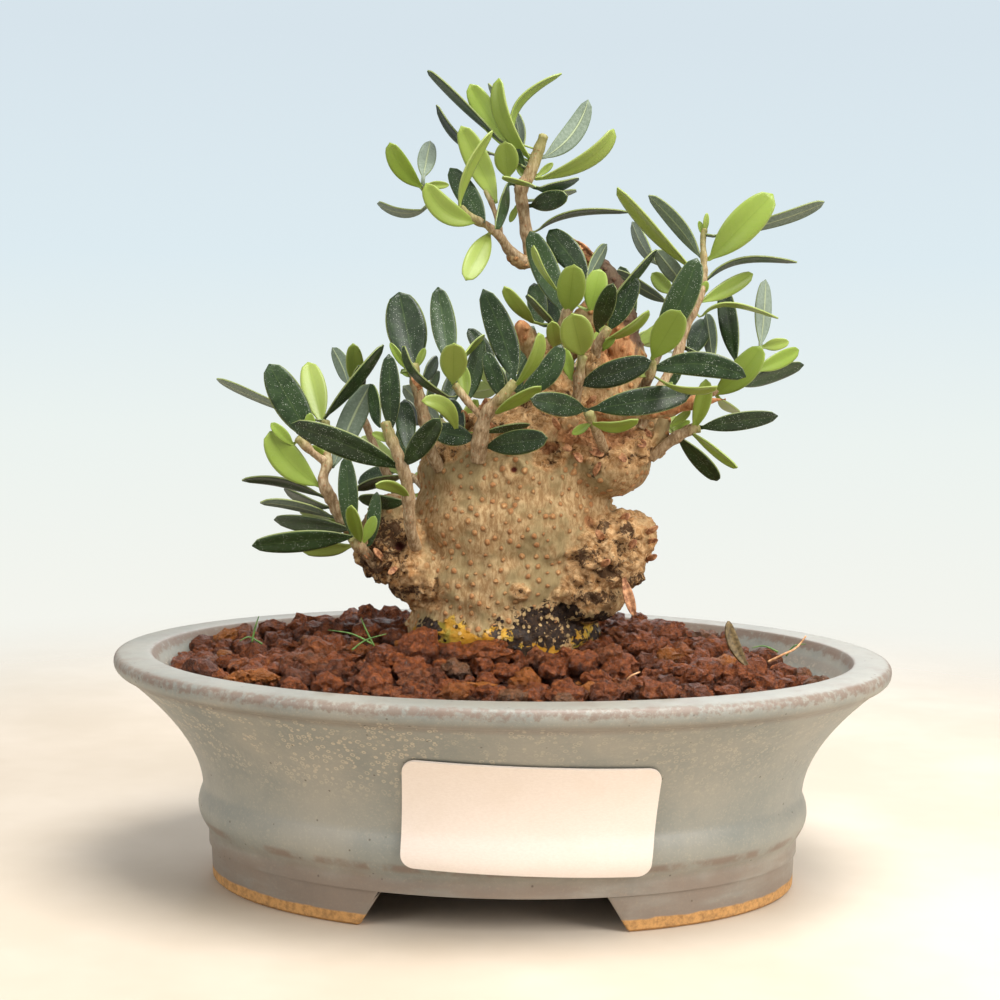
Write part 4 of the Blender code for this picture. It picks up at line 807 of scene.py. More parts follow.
def barkFinish():
    f = Finish("olive_bark", 0.75, 0.3)
    streak = f.cloud(0.8, 6, 0.7, f.stretched(1.0, 1.0, 0.4), 0.4)
    colour = f.blend(f.fade(streak, 0.38, 0.68), bark["tan"], bark["pale"])
    colour = f.over(colour, bark["olive"], f.fade(f.cloud(9, 4, 0.6), 0.46, 0.62), 0.7)
    # raised orange-brown pores
    pore, burly, black = f.read("pore"), f.read("burl"), f.read("black")
    calm = f.minus(1.0, f.times(burly, 0.85))
    dot = f.fadeOut(pore, 0.80, 1.05)
    rim = f.times(f.fadeOut(pore, 1.0, 1.5), f.minus(1.0, dot))
    dotTint = f.blend(f.fade(pore, 0.25, 0.6), bark["dotPale"], bark["dot"])
    dotTint = f.over(dotTint, bark["dotRed"], f.read("poreTone"))
    colour = f.over(colour, bark["dotRim"], f.times(rim, calm), 0.40)
    colour = f.over(colour, dotTint, f.times(dot, calm), 0.80)
    # burls: torn brown bark, pale on the ridges and dark in the cracks of the same relief, partly the
    # bark's own colour and partly painted light on the ridges and painted shade in the cracks
    torn = f.cloud(1.5, 8, 0.72, None, 1.6)
    tint = f.ramp(torn, (0.24, bark["crevice"]), (0.34, bark["burl"]), (0.45, bark["burlTan"]),
                  (0.62, bark["burlPale"]))
    colour = f.over(colour, tint, f.fade(burly, 0.1, 0.75), 0.85)
    # painted shade: the hollow and dark masks deepen the cracks
    deep = f.scaled(f.read("hollow"), -0.10, f.cloud(1.2, 6, 0.68, None, 1.0))
    deep = f.scaled(f.read("dark"), -0.17, f.scaled(burly, -0.13, deep))
    cracksAndShade = f.fadeOut(deep, 0.23, 0.31)
    colour = f.over(colour, bark["crevice"], cracksAndShade, 0.85)
    rusty = f.fade(f.plus(f.read("rust"), f.minus(torn, 0.5)), 0.3, 0.7)
    fibres = f.fade(f.cloud(0.9, 5, 0.7, f.stretched(1.0, 1.0, 0.3)), 0.4, 0.68)
    colour = f.over(colour, f.blend(fibres, bark["rust"], bark["rustPale"]), rusty, 0.72)
    smoky = f.fade(f.plus(f.read("smoke"), f.times(f.minus(streak, 0.5), 1.2)), 0.4, 0.7)
    colour = f.over(colour, bark["smoke"], smoky, 0.8)
    # the part that stood in the earth: bare yellow wood, black crust and pale grit
    mottle = f.cloud(1.7, 6, 0.7, None, 0.4)
    uneven = f.minus(mottle, 0.5)
    wet = f.blend(f.fade(f.cloud(5, 4), 0.4, 0.65), bark["yellow"], bark["yellowPale"])
    wet = f.over(wet, bark["moss"], f.fade(f.cloud(3.2, 4), 0.5, 0.66), 0.7)
    bare = f.fade(f.plus(f.read("yellow"), f.times(uneven, 1.2)), 0.42, 0.6)
    colour = f.over(colour, wet, bare)
    crust = f.times(f.fade(f.scaled(uneven, 4.4, black), 0.38, 0.54), f.fade(black, 0.04, 0.3))
    colour = f.over(colour, f.blend(f.fade(torn, 0.42, 0.72), bark["black"], bark["crust"]), crust)
    lowest = f.most(f.most(crust, bare), f.fade(black, 0.1, 0.4))
    far, own = f.cells(1.15)
    near = f.fadeOut(far, 0.34, 0.42)
    grain = f.times(near, f.fade(f.part(own, "X"), 0.70, 0.74))
    dark = f.times(near, f.fade(f.part(own, "Y"), 0.70, 0.74))
    colour = f.over(colour, bark["black"], f.times(dark, lowest), 0.9)
    colour = f.over(colour, bark["grit"], f.times(grain, lowest), 0.85)
    colour = f.over(colour, bark["red"], f.fade(f.read("pit"), 0.35, 0.8))
    f.relief(f.times(f.fadeOut(pore, 0.45, 1.1), calm), 0.22, 0.9)
    f.relief(streak, 0.10, 0.5)
    f.relief(f.minus(f.times(torn, burly), f.times(cracksAndShade, 0.5)), 1.3, 0.9)
    f.relief(f.times(f.plus(mottle, f.plus(grain, dark)), lowest), 0.5, 0.8)
    return f.finish(colour, f.scaled(bare, -0.34, 0.78))


# Stem points are (x, y, depth in mm), and thick is the thickness at the base and at the tip. A leaf
# row is its kind, base x and y, tip x and y, width seen, which way it leans (-1 towards the viewer,
# 1 away) and, if it is bent, the x and y of its middle.
stems = {
    "shoot_apex": {
        "thick": (2.7, 2.0),
        "paths": [
            [(531, 262, 3), (528, 246, 3), (524, 215, 2), (521, 190, 1), (529, 176, 1), (537, 155, 1),
             (544, 134, 0)],
        ],
        "leaves": [
            ("young", 531, 160, 499, 78, 16, -1, 504, 120),
            ("young", 520, 158, 470, 84, 23, 1, 490, 118), ("young", 515, 142, 562, 74, 7, 1, 520, 103),
            ("mature", 505, 146, 427, 71, 8, 1, 456, 95), ("grey", 520, 165, 489, 83, 6, 1, 503, 120),
            ("grey", 543, 158, 588, 100, 21, 1, 572, 134),
            ("young", 537, 180, 614, 129, 16, -1, 588, 158), ("mature", 537, 189, 579, 180, 10, 1),
            ("mature", 530, 206, 567, 196, 20, -1), ("grey", 533, 200, 576, 191, 6, 1),
            ("mature", 538, 232, 630, 213, 6, 0, 572, 211), ("mature", 509, 182, 496, 229, 10, -1),
            ("young", 536, 188, 503, 177, 5, -1), ("small", 508, 178, 505, 142, 24, 0),
            ("grey", 520, 160, 515, 112, 12, 1), ("mature", 526, 170, 512, 140, 8, 0),
            ("mature", 495, 155, 436, 105, 8, 1, 458, 138), ("small", 524, 178, 517, 160, 8, 1),
            ("small", 538, 176, 553, 163, 7, 1), ("small", 517, 206, 510, 222, 7, 1),
        ],
    },
    "shoot_apex_left": {
        "thick": (2.6, 1.3),
        "paths": [
            [(526, 262, 2), (510, 251, 1), (500, 237, -1), (488, 226, -3), (474, 219, -5),
             (460, 207, -7)],
            [(474, 219, -5), (450, 206, -2), (423, 188, 0)],
            [(501, 239, -1), (495, 212, 0), (485, 190, 1)],
        ],
        "leaves": [
            ("young", 478, 222, 426, 183, 24, -1, 446, 211), ("mature", 485, 222, 450, 168, 22, 1),
            ("young", 460, 207, 493, 131, 9, -1, 468, 170), ("young", 497, 202, 461, 126, 25, 1),
            ("young", 423, 188, 390, 143, 20, -1, 402, 168), ("grey", 423, 178, 430, 142, 18, 1),
            ("grey", 425, 209, 378, 203, 9, 1, 400, 212), ("small", 426, 185, 449, 185, 8, 1),
            ("young", 490, 232, 466, 280, 23, -1), ("small", 496, 226, 504, 217, 6, -1),
        ],
    },
    "shoot_right_top": {
        "thick": (2.3, 1.0),
        "paths": [
            [(640, 428, -8), (658, 392, -7), (676, 358, -5), (685, 331, -4), (696, 306, -3),
             (703, 285, -2), (704, 262, -1), (703, 240, 0), (705, 228, 0)],
        ],
        "leaves": [
            ("young", 692, 270, 617, 188, 12, 1, 655, 227), ("grey", 701, 257, 649, 195, 15, 1),
            ("young", 709, 260, 773, 194, 33, -1), ("grey", 716, 236, 824, 201, 12, 1, 783, 221),
            ("small", 705, 232, 707, 213, 6, -1), ("small", 704, 236, 699, 221, 6, 1),
            ("mature", 706, 282, 797, 263, 6, 1, 740, 262), ("young", 701, 302, 753, 274, 16, 1),
            ("young", 701, 319, 778, 319, 4, 0, 728, 303),
            ("mature", 654, 350, 697, 258, 30, -1, 680, 302), ("small", 702, 295, 707, 281, 8, -1),
            ("mature", 689, 357, 706, 319, 21, 1), ("grey", 714, 362, 707, 314, 14, 1),
        ],
    },
    "shoot_right_back": {
        "thick": (2.2, 1.2),
        "paths": [
            [(640, 400, 4), (656, 360, 6), (672, 320, 8), (684, 288, 9), (684, 270, 9)],
        ],
        "leaves": [
            ("grey", 657, 264, 633, 222, 13, 1, 642, 244), ("grey", 688, 290, 656, 250, 19, -1),
            ("grey", 668, 302, 615, 271, 12, 1), ("small", 672, 294, 652, 273, 16, 1),
        ],
    },
    "shoot_right_mid": {
        "thick": (2.4, 1.2),
        "paths": [
            [(652, 402, 0), (680, 396, 2), (712, 392, 3), (738, 378, 3), (761, 350, 2)],
        ],
        "leaves": [
            ("young", 713, 395, 761, 346, 27, -1, 741, 373), ("small", 762, 347, 789, 342, 12, -1),
            ("young", 754, 371, 799, 350, 16, 1), ("mature", 740, 386, 804, 365, 15, 1),
            ("grey", 760, 346, 765, 280, 16, 1), ("mature", 736, 362, 723, 284, 19, 1),
            ("young", 718, 398, 738, 414, 9, 1),
        ],
    },
    "shoot_right_centre": {
        "thick": (2.6, 1.6),
        "paths": [
            [(628, 410, -10), (640, 392, -14), (650, 374, -17), (652, 360, -18)],
        ],
        "leaves": [
            ("mature", 651, 370, 746, 377, 25, 0, 700, 364),
            ("young", 656, 378, 717, 387, 6, -1, 686, 386), ("young", 652, 359, 680, 311, 32, -1),
            ("small", 651, 373, 634, 373, 9, -1),
        ],
    },
    "shoot_right_low": {
        "thick": (2.6, 1.8),
        "paths": [
            [(650, 458, -8), (672, 440, -9), (690, 430, -10), (700, 427, -10)],
        ],
        "leaves": [
            ("young", 693, 430, 706, 380, 17, -1, 702, 405), ("mature", 700, 428, 778, 416, 18, 0),
            ("mature", 677, 436, 717, 481, 16, 1, 702, 464), ("young", 691, 433, 737, 468, 8, -1),
            ("small", 670, 427, 690, 411, 9, 1), ("small", 674, 430, 690, 421, 7, 1),
        ],
    },
    "shoot_front_low": {
        "thick": (2.3, 1.8),
        "paths": [
            [(606, 456, -9), (601, 442, -14), (595, 428, -17), (588, 411, -20)],
        ],
        "leaves": [
            ("mature", 592, 409, 691, 394, 28, 0), ("mature", 586, 410, 531, 399, 24, -1),
            ("young", 591, 423, 638, 420, 11, -1, 613, 428), ("small", 590, 424, 572, 434, 9, 1),
        ],
    },
    "shoot_centre": {
        "thick": (2.4, 1.8),
        "paths": [
            [(573, 414, -9), (577, 395, -12), (580, 372, -14), (583, 355, -15)],
        ],
        "leaves": [
            ("young", 582, 356, 572, 314, 34, -1), ("mature", 580, 385, 651, 361, 27, -1),
            ("young", 571, 380, 564, 348, 13, 0),
        ],
    },
    "shoot_centre_top": {
        "thick": (2.3, 1.5),
        "paths": [
            [(566, 372, -3), (563, 345, -6), (563, 322, -8), (574, 300, -8), (588, 284, -7)],
        ],
        "leaves": [
            ("young", 568, 314, 574, 265, 29, -1), ("young", 590, 312, 600, 269, 23, 0),
            ("grey", 586, 280, 606, 244, 12, 1), ("mature", 562, 310, 530, 231, 27, 1),
            ("mature", 588, 278, 549, 230, 27, 1), ("young", 558, 292, 533, 246, 6, -1),
            ("mature", 541, 326, 534, 283, 20, 1), ("mature", 557, 330, 527, 295, 7, -1),
            ("mature", 560, 330, 546, 297, 16, 1), ("young", 534, 324, 504, 287, 14, -1),
            ("young", 557, 350, 552, 322, 16, -1),
        ],
    },
    "shoot_top_mid": {
        "thick": (2.4, 1.4),
        "paths": [
            [(596, 362, -6), (597, 348, -8), (604, 335, -9), (609, 327, -9)],
        ],
        "leaves": [
            ("mature", 608, 331, 637, 277, 23, 0), ("young", 603, 342, 649, 311, 9, -1, 628, 327),
            ("mature", 596, 331, 613, 284, 20, -1), ("mature", 610, 306, 657, 250, 8, 0),
            ("small", 602, 350, 615, 336, 8, -1),
        ],
    },
    "shoot_mid_left": {
        "thick": (3.6, 1.6),
        "paths": [
            [(478, 462, -13), (480, 440, -14), (484, 420, -15), (492, 406, -16), (504, 395, -17),
             (515, 381, -17)],
            [(484, 420, -15), (468, 402, -16), (454, 384, -17)],
        ],
        "leaves": [
            ("mature", 514, 379, 483, 289, 29, 1, 503, 338),
            ("mature", 518, 393, 561, 344, 24, 0, 546, 374),
            ("young", 515, 387, 539, 333, 13, -1, 533, 358), ("young", 494, 415, 541, 387, 12, -1),
            ("mature", 503, 400, 486, 352, 18, 0), ("mature", 507, 396, 490, 362, 16, 1),
            ("young", 453, 384, 454, 344, 28, -1), ("mature", 467, 402, 483, 338, 18, 1, 472, 374),
            ("young", 460, 362, 485, 336, 5, 1), ("mature", 452, 399, 404, 346, 8, -1, 418, 376),
            ("mature", 450, 366, 438, 287, 25, 1), ("mature", 462, 436, 451, 400, 16, 1),
            ("young", 457, 432, 422, 401, 17, -1, 445, 407), ("mature", 474, 439, 431, 430, 23, 0),
            ("mature", 486, 447, 547, 438, 26, -1), ("mature", 484, 433, 530, 425, 7, 0),
            ("small", 466, 398, 462, 364, 14, 1),
        ],
    },
    "shoot_left_top": {
        "thick": (2.7, 2.2),
        "paths": [
            [(440, 470, -8), (428, 444, -10), (425, 422, -11), (420, 400, -12), (415, 378, -12),
             (413, 363, -12)],
        ],
        "leaves": [
            ("mature", 415, 368, 399, 292, 40, 1), ("small", 416, 368, 425, 348, 8, -1),
            ("small", 409, 371, 390, 343, 8, -1), ("small", 410, 369, 403, 346, 5, 1),
            ("small", 400, 371, 413, 376, 6, -1), ("mature", 423, 380, 438, 358, 12, 1),
            ("mature", 427, 402, 440, 372, 9, 1), ("mature", 418, 424, 402, 402, 11, 1),
        ],
    },
    "shoot_left_mid": {
        "thick": (2.8, 2.0),
        "paths": [
            [(416, 548, -10), (410, 525, -13), (407, 484, -15), (398, 455, -16), (390, 437, -16),
             (385, 421, -16)],
        ],
        "leaves": [
            ("mature", 400, 468, 291, 424, 26, -1, 345, 443), ("mature", 404, 466, 440, 419, 23, -1),
            ("mature", 391, 432, 389, 354, 21, 0), ("mature", 408, 452, 404, 400, 20, 1),
            ("small", 393, 441, 372, 433, 9, -1), ("young", 410, 500, 376, 485, 11, -1, 394, 488),
            ("mature", 402, 476, 357, 491, 10, 1), ("mature", 405, 502, 358, 499, 14, 1),
            ("mature", 379, 427, 370, 384, 12, 1),
        ],
    },
    "shoot_left": {
        "thick": (2.9, 1.8),
        "paths": [
            [(366, 552, -5), (352, 535, -7), (343, 520, -9), (330, 497, -11), (323, 480, -12),
             (327, 463, -11), (326, 440, -9), (325, 420, -8)],
            [(327, 463, -11), (312, 452, -12), (297, 437, -13)],
        ],
        "leaves": [
            ("grey", 316, 420, 217, 378, 8, 1, 252, 401),
            ("mature", 314, 442, 269, 364, 34, 0, 290, 402), ("young", 322, 424, 308, 362, 25, 1),
            ("mature", 325, 418, 384, 345, 12, 0), ("young", 320, 486, 270, 431, 31, -1, 289, 462),
            ("small", 293, 445, 271, 423, 12, -1), ("small", 309, 441, 310, 413, 12, -1),
            ("mature", 322, 497, 242, 481, 9, 1, 282, 481),
            ("mature", 330, 508, 284, 490, 9, 1, 303, 500),
            ("grey", 333, 517, 260, 502, 9, 0, 296, 506), ("young", 333, 521, 300, 513, 9, 1),
            ("small", 330, 460, 307, 447, 12, 1), ("grey", 333, 468, 371, 384, 26, 1, 352, 420),
        ],
    },
    "shoot_left_back": {
        "thick": (2.3, 1.4),
        "paths": [
            [(402, 505, 4), (385, 470, 6), (368, 430, 7), (358, 402, 7), (352, 384, 7)],
        ],
        "leaves": [
            ("young", 357, 388, 353, 344, 18, -1), ("grey", 349, 384, 333, 348, 15, 1),
            ("mature", 352, 406, 359, 366, 15, -1),
        ],
    },
    "shoot_left_low": {
        "thick": (3.0, 2.0),
        "paths": [
            [(378, 566, -8), (366, 553, -11), (357, 544, -13), (352, 537, -14)],
        ],
        "leaves": [
            ("mature", 350, 529, 274, 520, 17, 1), ("mature", 354, 537, 252, 546, 21, -1, 300, 540),
            ("young", 352, 546, 303, 552, 14, 1), ("young", 360, 544, 351, 506, 14, -1),
            ("small", 364, 542, 375, 516, 12, -1), ("mature", 351, 536, 346, 456, 20, 0),
            ("mature", 370, 546, 377, 492, 14, 0),
        ],
    },
}


# Stems on the far side: base, end and how many leaf pairs
farStems = [
    ((560, 420, 8), (585, 350, 26), 3),
    ((520, 440, 10), (500, 375, 28), 4),
    ((600, 400, 6), (632, 335, 18), 3),
    ((470, 470, 11), (440, 420, 27), 3),
    ((560, 480, 13), (575, 420, 31), 3),
    ((610, 450, 8), (655, 405, 24), 3),
    ((440, 510, 10), (400, 470, 25), 3),
]


# Leaves and their stems

leafShape = {
    "typical": {"mature": 17.0, "grey": 17.0, "young": 14.5, "small": 0.0},
    "slimmest": 0.25,  # width over length
    "lean": 0.75, "leanMore": 0.12, "sag": 0.05,  # shares of the length hidden and of the one seen
    "stalk": 0.84, "stalkEnd": 0.08, "thickness": 0.30,
    "farLength": (11.5, 15.5), "farShape": 0.30, "farThick": (2.3, 1.4),
    "across": 8, "along": 16,  # faces
    "fold": {"mature": 0.16, "grey": 0.16, "young": 0.24, "small": 0.34},
    "age": {"mature": 0.0, "grey": 0.0, "young": 1.0, "small": 0.75},
    # powers of the outline: how blunt it is, and how late it is widest
    "blade": {"mature": (0.44, 1.10), "grey": (0.44, 1.10), "young": (0.42, 1.22), "small": (0.46, 1.1)},
}

# How leaves make room: the stalk's share of a blade stays out of it
room = {
    "passes": 50, "clearance": 1.15, "slack": 0.5, "stalk": 0.2, "mostPush": 1.5, "leastPush": 0.02,
    "mostStretch": 1.35,
}


class Leaf:
    # one blade: where it hangs on its stem, the curve of its midrib and how it faces
    def __init__(self, kind, base, middle, tip, width, facing):
        self.kind = kind
        self.base = base
        self.middle = middle
        self.tip = tip
        self.width = width
        self.facing = facing
        self.root = base
        self.longest = room["mostStretch"] * (tip - base).length
        self.far = False

    def spine(self, t):
        control = 2 * self.middle - (self.base + self.tip) / 2
        return (1 - t) ** 2 * self.base + 2 * t * (1 - t) * control + t * t * self.tip

    def along(self, t):
        return (self.spine(min(t + 0.05, 1.0)) - self.spine(max(t - 0.05, 0.0))).normalized()

    def across(self, t):
        along = self.along(t)
        ray = (self.spine(t) - eyePlace()).normalized()
        flat = along.cross(ray).normalized()
        deep = along.cross(flat).normalized()
        return flat * math.cos(self.facing) + deep * math.sin(self.facing)


# Half width of a blade over its greatest, from base to tip
def outlineShare(t):
    return math.sin(math.pi * min(t, 1.0) ** 0.92) ** 0.75


def closestOn(path, point):
    best = None
    for start, end in zip(path, path[1:]):
        run = end - start
        share = min(max((point - start).dot(run) / run.length_squared, 0.0), 1.0)
        place = start + run * share
        if best is None or (place - point).length < (best - point).length:
            best = place
    return best


# A leaf from its row: its depth starts at its stem's and leans by its kind's length
def seenLeaf(row, paths):
    kind, *spots = row
    base, tip, (width, lean), middle = spots[:2], spots[2:4], spots[4:6], spots[6:]
    guess = min((closestOn(path, sight(*base, path[-1].y / mm)) for path in paths),
                key=lambda place: (place - sight(*base, place.y / mm)).length)
    depth = guess.y / mm
    start = sight(*base, depth)
    end = sight(*tip, depth)
    flat = (end - start).length
    typical = leafShape["typical"][kind] * mm
    hidden = math.sqrt(max(typical ** 2 - flat ** 2, 0.0))
    shift = leafShape["lean"] * hidden + leafShape["leanMore"] * flat
    end = sight(*tip, depth + lean * shift / mm)
    pixel = (end - eyePlace()).length / eye["focal"]
    middle = middle or ((base[0] + tip[0]) / 2, (base[1] + tip[1]) / 2)
    sag = leafShape["sag"] * flat * (1 if lean > 0 else -1)
    centre = sight(*middle, (start.y + end.y) / 2 / mm + sag / mm)
    real = max(width * pixel, leafShape["slimmest"] * (end - start).length)
    facing = math.acos(min(width * pixel / real, 1.0))
    if (end - start).cross(Vector((0, 1, 0))).z < 0:
        facing = -facing
    leaf = Leaf(kind, start, centre, end, real, facing)
    leaf.root = guess
    return leaf


# Opposite pairs along a far stem, each pair turned a quarter from the one before
def farLeaves(index, path, pairs):
    draw = random.Random(seed + index)
    leaves = []
    for pair in range(pairs):
        share = 0.42 + 0.58 * pair / (pairs - 1)
        place = path[0].lerp(path[-1], share)
        along = (path[-1] - path[0]).normalized()
        side = along.orthogonal().normalized()
        other = along.cross(side)
        turn = pair * math.pi / 2 + draw.uniform(-0.3, 0.3)
        for half in (0, math.pi):
            out = side * math.cos(turn + half) + other * math.sin(turn + half)
            reach = draw.uniform(*leafShape["farLength"]) * mm
            lift = draw.uniform(0.45, 0.9)
            aim = (out + along * lift + Vector((0, 0.35, 0.15))).normalized()
            tip = place + aim * reach
            start = place + aim * 1.6 * mm
            middle = (start + tip) / 2 + along * 0.7 * mm
            kind = "young" if draw.random() < 0.3 else "mature"
            wide = leafShape["farShape"] * reach
            leaf = Leaf(kind, start, middle, tip, wide, draw.uniform(-1.0, 1.0))
            leaf.root = place
            leaf.far = True
            leaves.append(leaf)
    return leaves


def allShoots():
    shoots = []
    for name, stem in stems.items():
        paths = [[sight(*point) for point in path] for path in stem["paths"]]
        leaves = [seenLeaf(row, paths) for row in stem["leaves"]]
        shoots.append((name, paths, stem["thick"], leaves))
    for index, (base, end, pairs) in enumerate(farStems):
        start, finish = sight(*base), sight(*end)
        middle = (start + finish) / 2 + Vector((0, 0, 1.5 * mm))
        path = [start, middle, finish]
        name = f"shoot_far_{index + 1}"
        shoots.append((name, [path], leafShape["farThick"], farLeaves(index, path, pairs)))
    return shoots


# Making room between stems, so that no leaf cuts through another

def unit(vectors):
    return vectors / np.linalg.norm(vectors, axis=-1, keepdims=True)


def bladePlaces(leaves):
    base, middle, tip = [np.array([getattr(leaf, name) for leaf in leaves])[:, None]
                         for name in ("base", "middle", "tip")]
    width, facing = [np.array([getattr(leaf, name) for leaf in leaves])[:, None, None]
                     for name in ("width", "facing")]
    shares = np.linspace(0, 1, 9)[None, :, None]
    control = 2 * middle - (base + tip) / 2
    spine = (1 - shares) ** 2 * base + 2 * shares * (1 - shares) * control + shares ** 2 * tip
    along = unit((1 - shares) * (control - base) + shares * (tip - control))
    flat = unit(np.cross(along, unit(spine - np.array(eyePlace()))))
    deep = unit(np.cross(along, flat))
    across = flat * np.cos(facing) + deep * np.sin(facing)
    halves = width / 2 * np.array([outlineShare(t) for t in shares.ravel()])[None, :, None]
    sides = np.array([-0.95, -0.32, 0.32, 0.95])[None, None, :, None]
    places = spine[:, :, None] + (across * halves)[:, :, None] * sides
    return places, np.broadcast_to(shares[..., None], places.shape[:3] + (1,))[..., 0]


def woodBalls():
    balls = [(sight(*centre), [half * mm for half in halves]) for centre, halves in swellings]
    for points in limbs:
        balls += [(place, [radius] * 3) for place, radius in zip(*sightPath(points, 5))]
    return np.array([centre for centre, _ in balls]), np.array([halves for _, halves in balls])


def woodPushes(places, centres, halves):
    gap = places[:, None] - centres[None]
    reach = np.linalg.norm(gap / halves[None], axis=-1)
    short = (1.0 - reach) * halves.min(axis=1)[None] + room["clearance"] * mm
    nearest = short.argmax(axis=1)
    rows = np.arange(len(places))
    way = np.where(gap[rows, nearest, 1] > 0, 1.0, -1.0)
    return np.maximum(short[rows, nearest], 0.0) * way


# Moves the tip along its line of sight, so that the picture keeps its place
def leanBy(leaf, shift):
    tip = leaf.tip + (leaf.tip - eyePlace()).normalized() * shift
    if (tip - leaf.base).length > leaf.longest:
        return
    leaf.tip = tip
    leaf.middle = leaf.middle + (leaf.middle - eyePlace()).normalized() * shift * 0.45


def stemSamples(shoots):
    places = []
    sides = [Vector(way) for way in ((1, 0, 0), (-1, 0, 0), (0, 1, 0), (0, -1, 0))]
    for index, (_, paths, thick, _) in enumerate(shoots):
        for path in paths:
            for start, end in zip(path, path[1:]):
                steps = max(int((end - start).length / mm), 1)
                for k in range(steps + 1):
                    middle = start.lerp(end, k / steps)
                    places += [(middle + way * thick[0] / 2 * mm, index) for way in sides]
    return places


def settleLeaves(shoots):
    leaves = [leaf for shoot in shoots for leaf in shoot[3]]
    owner = [index for index, shoot in enumerate(shoots) for _ in shoot[3]]
    fixed = stemSamples(shoots)
    centres, halves = woodBalls()
    reach = room["clearance"] * mm + room["slack"] * mm
    for _ in range(room["passes"]):
        grid, shares = bladePlaces(leaves)
        count = grid.shape[1] * grid.shape[2]
        places, shares = grid.reshape(-1, 3), shares.reshape(-1)
        wood = woodPushes(places, centres, halves)
        tree = KDTree(len(places) + len(fixed))
        for k, place in enumerate(places):
            tree.insert(place, k)
        for k, (place, _) in enumerate(fixed):
            tree.insert(place, len(places) + k)
        tree.balance()
        pushes = [0.0] * len(leaves)
        depths = [leaf.spine(0.5).y for leaf in leaves]
        for k, place in enumerate(places):
            if shares[k] < room["stalk"]:
                continue
            number = k // count
            push = wood[k] / shares[k]
            for near, other, apart in tree.find_range(place, reach):
                if other < len(places):
                    rival, depth = owner[other // count], depths[other // count]
                else:
                    rival, depth = fixed[other - len(places)][1], near.y
                if rival == owner[number]:
                    continue
                away = 1.0 if depths[number] > depth else -1.0
                if (reach - apart) / shares[k] > abs(push):
                    push = 0.6 * (reach - apart) * away / shares[k]
            if abs(push) > abs(pushes[number]):
                pushes[number] = push
        for leaf, push in zip(leaves, pushes):
            leanBy(leaf, 0.5 * max(min(push, room["mostPush"] * mm), -room["mostPush"] * mm))
        if max(abs(push) for push in pushes) < room["leastPush"] * mm:
            break


# Half width of the real blade: a long taper into the stalk and a short point
def bladeWidth(kind, t):
    blunt, late = leafShape["blade"][kind]
    return math.sin(math.pi * min(t, 1.0) ** late) ** (blunt + 0.30 * (1 - t) ** 2)


def addLeaf(bm, leaf, draw):
    rows, columns = leafShape["along"], leafShape["across"]
    verts = bmesh.ops.create_grid(bm, x_segments=columns, y_segments=rows, size=1.0)["verts"]
    layers = bm.verts.layers.float
    normal = leaf.across(0.5).cross(leaf.along(0.5)).normalized()
    toward = Vector((0, 0, 1)) if leaf.far else (eyePlace() - leaf.spine(0.5)).normalized()
    side = 1 if normal.dot(toward) > 0 else -1
    if leaf.kind == "grey":
        side = -side
    age = min(max(leafShape["age"][leaf.kind] + draw.uniform(-0.14, 0.14), 0.0), 1.0)
    tone = draw.random()
    stalk, stalkEnd = leafShape["stalk"] / 2 * mm, leafShape["stalkEnd"]
    phase, waves = draw.uniform(0, 6.3), draw.uniform(5, 9)
    ripple = draw.uniform(0.01, 0.05)
    droop = draw.uniform(-0.03, 0.05) * (leaf.tip - leaf.base).length
    fold = leafShape["fold"][leaf.kind] * draw.uniform(0.6, 1.3)
    frames = []
    for k in range(rows + 1):
        v = k / rows
        t = max((v - stalkEnd) / (1 - stalkEnd), 0.0)
        along = leaf.along(t)
        across = leaf.across(t) * side
        up = across.cross(along).normalized()
        place = leaf.root.lerp(leaf.base, v / stalkEnd) if v < stalkEnd else leaf.spine(t)
        half = max(leaf.width / 2 * bladeWidth(leaf.kind, t), stalk if t < 0.5 else 0.12 * mm)
        place = place + up * droop * math.sin(math.pi * t)
        frames.append((place, across, up, half, t))
    for vert in verts:
        u, v = vert.co.x, (vert.co.y + 1) / 2
        place, across, up, half, t = frames[round(v * rows)]
        spread = math.copysign(abs(u) ** 0.9, u)
        lift = (fold * abs(u) - 0.10 * u ** 4) * half
        lift += ripple * half * u * u * math.sin(waves * t + phase + (0.8 if u > 0 else 0))
        vert.co = place + across * spread * half + up * lift
        for name, value in (("across", u), ("along", t), ("age", age), ("tone", tone)):
            vert[layers[name]] = value


def newLeafMesh():
    bm = bmesh.new()
    for name in ("across", "along", "age", "tone"):
        bm.verts.layers.float.new(name)
    return bm


def makeLeaves(shoot, upper, under):
    name, _, _, leaves = shoot
    draw = random.Random(name)
    bm = newLeafMesh()
    for leaf in leaves:
        addLeaf(bm, leaf, draw)
    piece = pieceFrom(name.replace("shoot", "leaves"), bm, upper, under)
    shell = thicken(piece, leafShape["thickness"])
    shell.material_offset = 1
    shell.material_offset_rim = 0
    settleModifiers(piece)
    young = sum(leaf.kind in ("young", "small") for leaf in leaves)
    dress(piece, "fresh_foliage" if young * 2 > len(leaves) else "foliage", name)


